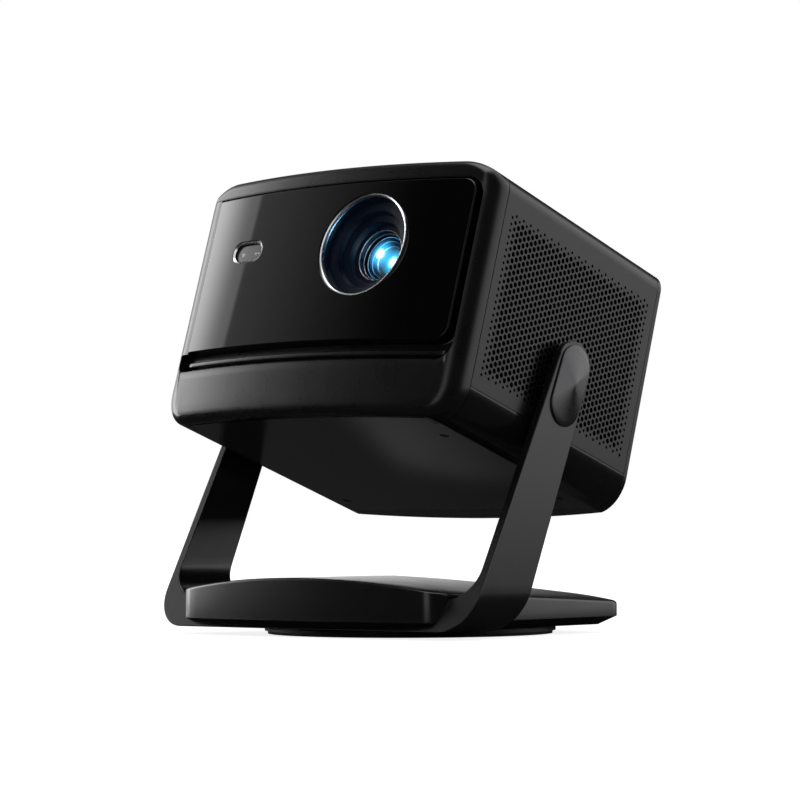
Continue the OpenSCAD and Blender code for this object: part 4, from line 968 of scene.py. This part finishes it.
LENS_FACE = plan_y(LENS_X, -PROUD)
DOME_D, DOME_R, DOME_BALL, DOME_T = 20.5, 15.9, 30.7, 2.2    # the glass: depth, radius, curvature, wall
CONE_D, CONE_STEP, CONE_DEEP = 24.2, 2.1, 31.0               # the stepped cone behind it
# Radius of the disc deep in the barrel that carries a painted glow, and the centres of the painted glow on the
# dome and on that disc.
GLOW_R = 8.3
HOT_SPOT, DEEP_SPOT = (-2.8, 2.2), (1.5, -0.5)               # off the lens's axis, x and z


def lathe(name, profile, materials, nodes=(), slots=None, smooth=25, sides=96):
    """A closed profile of (radius, depth behind the face) turned about the lens's axis."""
    s = Shape()
    loops = [[(x, LENS_FACE + d, z) for x, z in circle_loop(LENS_X, LENS_Z, r, sides)] for r, d in profile]
    for k, (a, b) in enumerate(zip(loops, loops[1:] + loops[:1])):
        s.band(a, b, closed=True, slot=slots[k] if slots else 0)
    s.build(name, "head", materials, nodes=nodes, smooth=smooth)


def dome_depth(r, back=0.0):
    return DOME_D + DOME_BALL - sqrt((DOME_BALL - back) ** 2 - r * r)


def glass_with_painted_glow(name, spot, depth, core, halo, core_mm, halo_mm, clear):
    """Coated glass with a painted glow about one spot: emission in its colour, though no lamp is there; clear is
    its share of transmission.
    """
    m, nt, b = new_material(name)
    centre = head_place((LENS_X + spot[0], LENS_FACE + depth, LENS_Z + spot[1]))
    near = node(nt, "VectorMath", {0: place_in(nt), 1: centre}, operation="DISTANCE").outputs["Value"]
    parts = []
    for level, reach in ((core, core_mm), (halo, halo_mm)):
        fade = step_up(nt, near, 0.1 * reach * MM, reach * MM, 1.0, 0.0)
        parts.append(node(nt, "VectorMath", {0: level, "Scale": maths(nt, "MULTIPLY", fade, fade)},
                          operation="SCALE").outputs["Vector"])
    painted_glow = node(nt, "VectorMath", enumerate(parts), operation="ADD").outputs["Vector"]
    fill(nt, b, {"Base Color": (0.55, 0.8, 0.95, 1) if clear else (0.01, 0.03, 0.06, 1),
                 "Transmission Weight": clear, "Roughness": 0.03, "IOR": 1.5,
                 "Emission Strength": 1.0, "Emission Color": painted_glow})
    return m


def lens():
    # Painted glow: the dome and the disc deep in the barrel emit light in their own colour, though no lamp is
    # there.
    glass = glass_with_painted_glow("glass_coated_painted_glow", HOT_SPOT, DOME_D + 0.4, core=(6.0, 7.5, 8.5), halo=(0.06, 0.5, 0.95),
                    core_mm=4.6, halo_mm=14.0, clear=1.0)
    deep = glass_with_painted_glow("glass_painted_glow", DEEP_SPOT, CONE_DEEP - 0.8, core=(4.0, 8.0, 9.0), halo=(0.1, 1.0, 1.5),
                   core_mm=5.5, halo_mm=13.0, clear=0.0)
    front = [DOME_R * i / 16 for i in range(17)]
    dome = [(r, dome_depth(r, DOME_T)) for r in front] + [(r, dome_depth(r)) for r in reversed(front)]
    lathe("lens_dome", dome, [glass], nodes=["front_glass"])
    profile, slots = [(DOME_R, CONE_D)], []
    r, d = DOME_R, CONE_D
    for _ in range(3):                                   # each step has one bright edge
        profile += [(r - CONE_STEP + 0.3, d + 0.3), (r - CONE_STEP, d + 0.6)]
        r, d = r - CONE_STEP - 0.15, d + 2.1
        profile.append((r, d))
        slots += [0, 1, 0]
    profile += [(GLOW_R + 0.1, d + 0.1), (GLOW_R + 0.1, CONE_DEEP), (DOME_R, CONE_DEEP)]
    slots += [0, 0, 0, 0]
    lathe("lens_cone", profile, [BAFFLE, TRIM], slots=slots)
    # The disc deep in the barrel, with its painted glow.
    bulge = [(GLOW_R * t, CONE_DEEP - 1.2 + 0.6 * t ** 2) for t in [i / 6 for i in range(6, -1, -1)]]
    lathe("lens_painted_glow", [(0, CONE_DEEP), (GLOW_R, CONE_DEEP)] + bulge, [deep])
    rim = HOLE_R - TRIM_W
    lathe("lens_trim", [(HOLE_R, 3.2), (HOLE_R, 0.35), (HOLE_R - 0.1, 0.22), (rim + 0.2, 0.62), (rim, 0.85),
                        (rim, 3.2)], [TRIM], nodes=["lens_trim_ring"], smooth=50)
    for k, (r, d) in enumerate(((16.9, 18.45), (15.85, 21.9))):        # polished edges round the glass
        lathe(f"lens_edge_{k + 1}", [(r, d), (r - 0.1, d - 0.25), (r - 0.35, d - 0.35), (r - 0.6, d - 0.25),
                                     (r - 0.7, d), (r - 0.5, d + 0.3)], [TRIM], smooth=60)


front_bezel()
bezel_strip()
sensor()
front_panel()
lens()
head_shell()
yoke()
pivot_cap(1, "cap_right", "pivot_cap_right")
pivot_cap(-1, "cap_left", "pivot_cap_left")
base_cover()
base_plate()

# -------------------- finishes of the carried-over CAD nodes

MADE["lens_glass"] = WINDOW                # the rear lens, hidden in the barrel
BY_NODE = {"bottom_cover": UNDER, "bottom_screws": SCREW, "rear_screws": SCREW, "yoke_screws": SCREW,
           "sensor_lenses": EYE}
for sub in frame["record"]["subparts"]:
    o = frame["nodes"][sub["node"]]
    if not o.hide_render:
        if not o.material_slots:
            o.data.materials.append(None)
        for ms in o.material_slots:
            ms.material = BY_NODE.get(sub["node"]) or MADE[sub["material_slot"]]

# -------------------- studio

FLOOR_HALF, FLOOR_PALE, FLOOR_MIRRORED, FLOOR_SEEN = 40.0, 0.8, 0.08, 0.85


def light_path(nt):
    """The light path's outputs, and whether a ray comes from the camera, straight or through glass."""
    ray = node(nt, "LightPath").outputs
    return ray, maths(nt, "MAXIMUM", ray["Is Camera Ray"], ray["Is Transmission Ray"])


def studio_floor():
    """Seen directly, the floor is white and keeps only the object's shadow; in gloss it is a calm grey."""
    me = bpy.data.meshes.new("floor")
    corners = [(x * FLOOR_HALF, y * FLOOR_HALF, 0) for x, y in ((-1, -1), (1, -1), (1, 1), (-1, 1))]
    me.from_pydata(corners, [], [(0, 1, 2, 3)])
    floor = new_object("floor", me)
    m, nt, b = new_material("floor_pale")
    ray, seen = light_path(nt)
    tone = maths(nt, "MULTIPLY_ADD", ray["Is Glossy Ray"], FLOOR_MIRRORED - FLOOR_PALE, FLOOR_PALE)
    fill(nt, b, {"Roughness": 0.9, "Specular IOR Level": 0.0, "Base Color": tone})
    white = {"Color": (1, 1, 1, 1), "Strength": maths(nt, "MULTIPLY", seen, FLOOR_SEEN)}
    both = node(nt, "AddShader", {0: b.outputs["BSDF"], 1: node(nt, "Emission", white).outputs["Emission"]})
    fill(nt, nt.nodes["Material Output"], {"Surface": both.outputs["Shader"]})
    me.materials.append(m)


studio_floor()


def area(name, az, el, reach, size, radiance):
    """A soft box that lights the head, by direction and distance; its level is a radiance. Gloss sees the
    world's soft boxes instead."""
    l = bpy.data.lights.new(name, "AREA")
    l.shape = "RECTANGLE"
    l.size, l.size_y = size
    l.energy = radiance * size[0] * size[1] * pi
    o = new_object(name, l)
    o.visible_glossy = False
    a, e = radians(az), radians(el)
    out = Vector((cos(a) * cos(e), sin(a) * cos(e), sin(e)))
    o.location = Vector((0, 0, 0.17)) + out * reach
    o.rotation_euler = (-out).to_track_quat("-Z", "Y").to_euler()


area("top_box", 250, 80, 1.8, (1.2, 0.9), 1.4)
area("left_fill", 185, 12, 2.2, (0.9, 0.7), 1.8)
area("right_rear", 50, 14, 2.4, (1.2, 0.8), 1.4)

# The surround that gloss shows. Azimuths are in degrees from its middle, which lies behind the object,
# and heights are sines. Each pair is where a part fades in or out.
MIDDLE = radians(130)
EDGE, EDGE_SOFT = 76.3, 0.35              # where the white surround ends, on the left
LAMP_IN, LAMP_OUT, LAMP_TOP, LAMP_LEVEL = (36, 60), (67.5, 75.5), (0.46, 0.56), 6.7
CLOTH_IN, CLOTH_RISE, CLOTH_LEVELS = (-125, -100), (55, 74), (1.4, 2.1)
GAP_IN, GAP_OUT, GAP_FOOT, GAP_DARK = (-25, -5), (30, 45), (0.15, 0.4), 0.9    # dark high up, behind
FLAG_IN, FLAG_OUT, FLAG_TOP = (-46, -38), (-6, 1), (0.56, 0.66)    # dark low down, to the rear right
ENDS_IN, ENDS_OUT, ENDS_FOOT, ENDS_DARK = (20, 60), (107, 111), (0.59, 0.66), 0.9    # the left's top
TAIL_OUT, TAIL_LEVEL = (70, 108), 0.74    # the dimmer wall that goes on past the edge
STRIP_IN, STRIP_OUT, STRIP_LEVEL = (140, 146), (160, 168), 1.3    # a narrow box to the camera's left
CEILING_IN, CEILING_LEVEL = (0.89, 0.95), 3.6
DIM_LEVEL, FILL_LEVEL = 0.02, 0.45


def world_light():
    world = bpy.data.worlds.new("studio")
    bpy.context.scene.world = world
    world.use_nodes = True
    world.cycles.sampling_method = "NONE"
    nt = world.node_tree
    ray, seen = light_path(nt)
    at = node(nt, "TexCoord").outputs["Generated"]
    x, y, z = node(nt, "SeparateXYZ", {"Vector": at}).outputs

    def product(a, b, *more):
        out = maths(nt, "MULTIPLY", a, b)
        return product(out, *more) if more else out

    def without(part):
        return maths(nt, "SUBTRACT", 1.0, part)

    def mix(a, b):
        return maths(nt, "MULTIPLY_ADD", x, a, product(y, b))
    c, s = cos(MIDDLE), sin(MIDDLE)
    deg = maths(nt, "DEGREES", maths(nt, "ARCTAN2", mix(-s, c), mix(c, s)))

    def rise(marks, lo=0.0, hi=1.0, along=deg):
        return step_up(nt, along, *marks, lo, hi)

    def fall(marks, along=deg):
        return rise(marks, 1.0, 0.0, along)
    edge = (EDGE - EDGE_SOFT, EDGE + EDGE_SOFT)
    lamp = product(rise(LAMP_IN), rise(LAMP_OUT, LAMP_LEVEL, 0.0), fall(LAMP_TOP, z))
    gap = product(rise(GAP_IN), fall(GAP_OUT), rise(GAP_FOOT, 0.0, GAP_DARK, z))
    flag = product(rise(FLAG_IN), fall(FLAG_OUT), fall(FLAG_TOP, z))
    cloth = product(rise(CLOTH_IN), rise(CLOTH_RISE, *CLOTH_LEVELS), without(gap), without(flag))
    tail = product(rise(edge), rise(TAIL_OUT, TAIL_LEVEL, 0.0))
    strip = product(rise(STRIP_IN), rise(STRIP_OUT, STRIP_LEVEL, 0.0))
    ends = product(rise(ENDS_IN), fall(ENDS_OUT), rise(ENDS_FOOT, 0.0, ENDS_DARK, z))
    ceiling = rise(CEILING_IN, along=z)
    lit = maths(nt, "ADD", lamp, cloth)
    lit = maths(nt, "MULTIPLY_ADD", lit, fall(edge), maths(nt, "ADD", tail, strip))
    lit = product(lit, without(ends), without(ceiling))
    lit = maths(nt, "ADD", maths(nt, "MULTIPLY_ADD", ceiling, CEILING_LEVEL, lit), DIM_LEVEL)
    level = maths(nt, "ADD", product(ray["Is Diffuse Ray"], FILL_LEVEL), product(ray["Is Glossy Ray"], lit))
    fill(nt, nt.nodes["Background"], {"Color": (1, 1, 1, 1), "Strength": maths(nt, "MAXIMUM", seen, level)})


world_light()

cam_data = bpy.data.cameras.new("camera")
cam = bpy.context.scene.camera = new_object("camera", cam_data)
AZ, UP, ROLL = radians(39.9117), radians(1.38786), radians(-0.186)
CAMERA_AT = Vector((1222.7, -1479.7, 68.75)) * MM
cam_data.sensor_width, cam_data.lens = 36.0, 135.4383
cam_data.shift_x, cam_data.shift_y = 0.0106, 0.0648
cam_data.clip_end = 100
right = Vector((cos(AZ), sin(AZ), 0))
fwd = Vector((-sin(AZ) * cos(UP), cos(AZ) * cos(UP), sin(UP)))
up = right.cross(fwd)
r2 = right * cos(ROLL) + up * sin(ROLL)
u2 = -right * sin(ROLL) + up * cos(ROLL)
rot = Matrix((r2, u2, -fwd)).transposed()
cam.matrix_world = Matrix.Translation(CAMERA_AT) @ rot.to_4x4()

bpy.context.scene.view_settings.view_transform = "Standard"
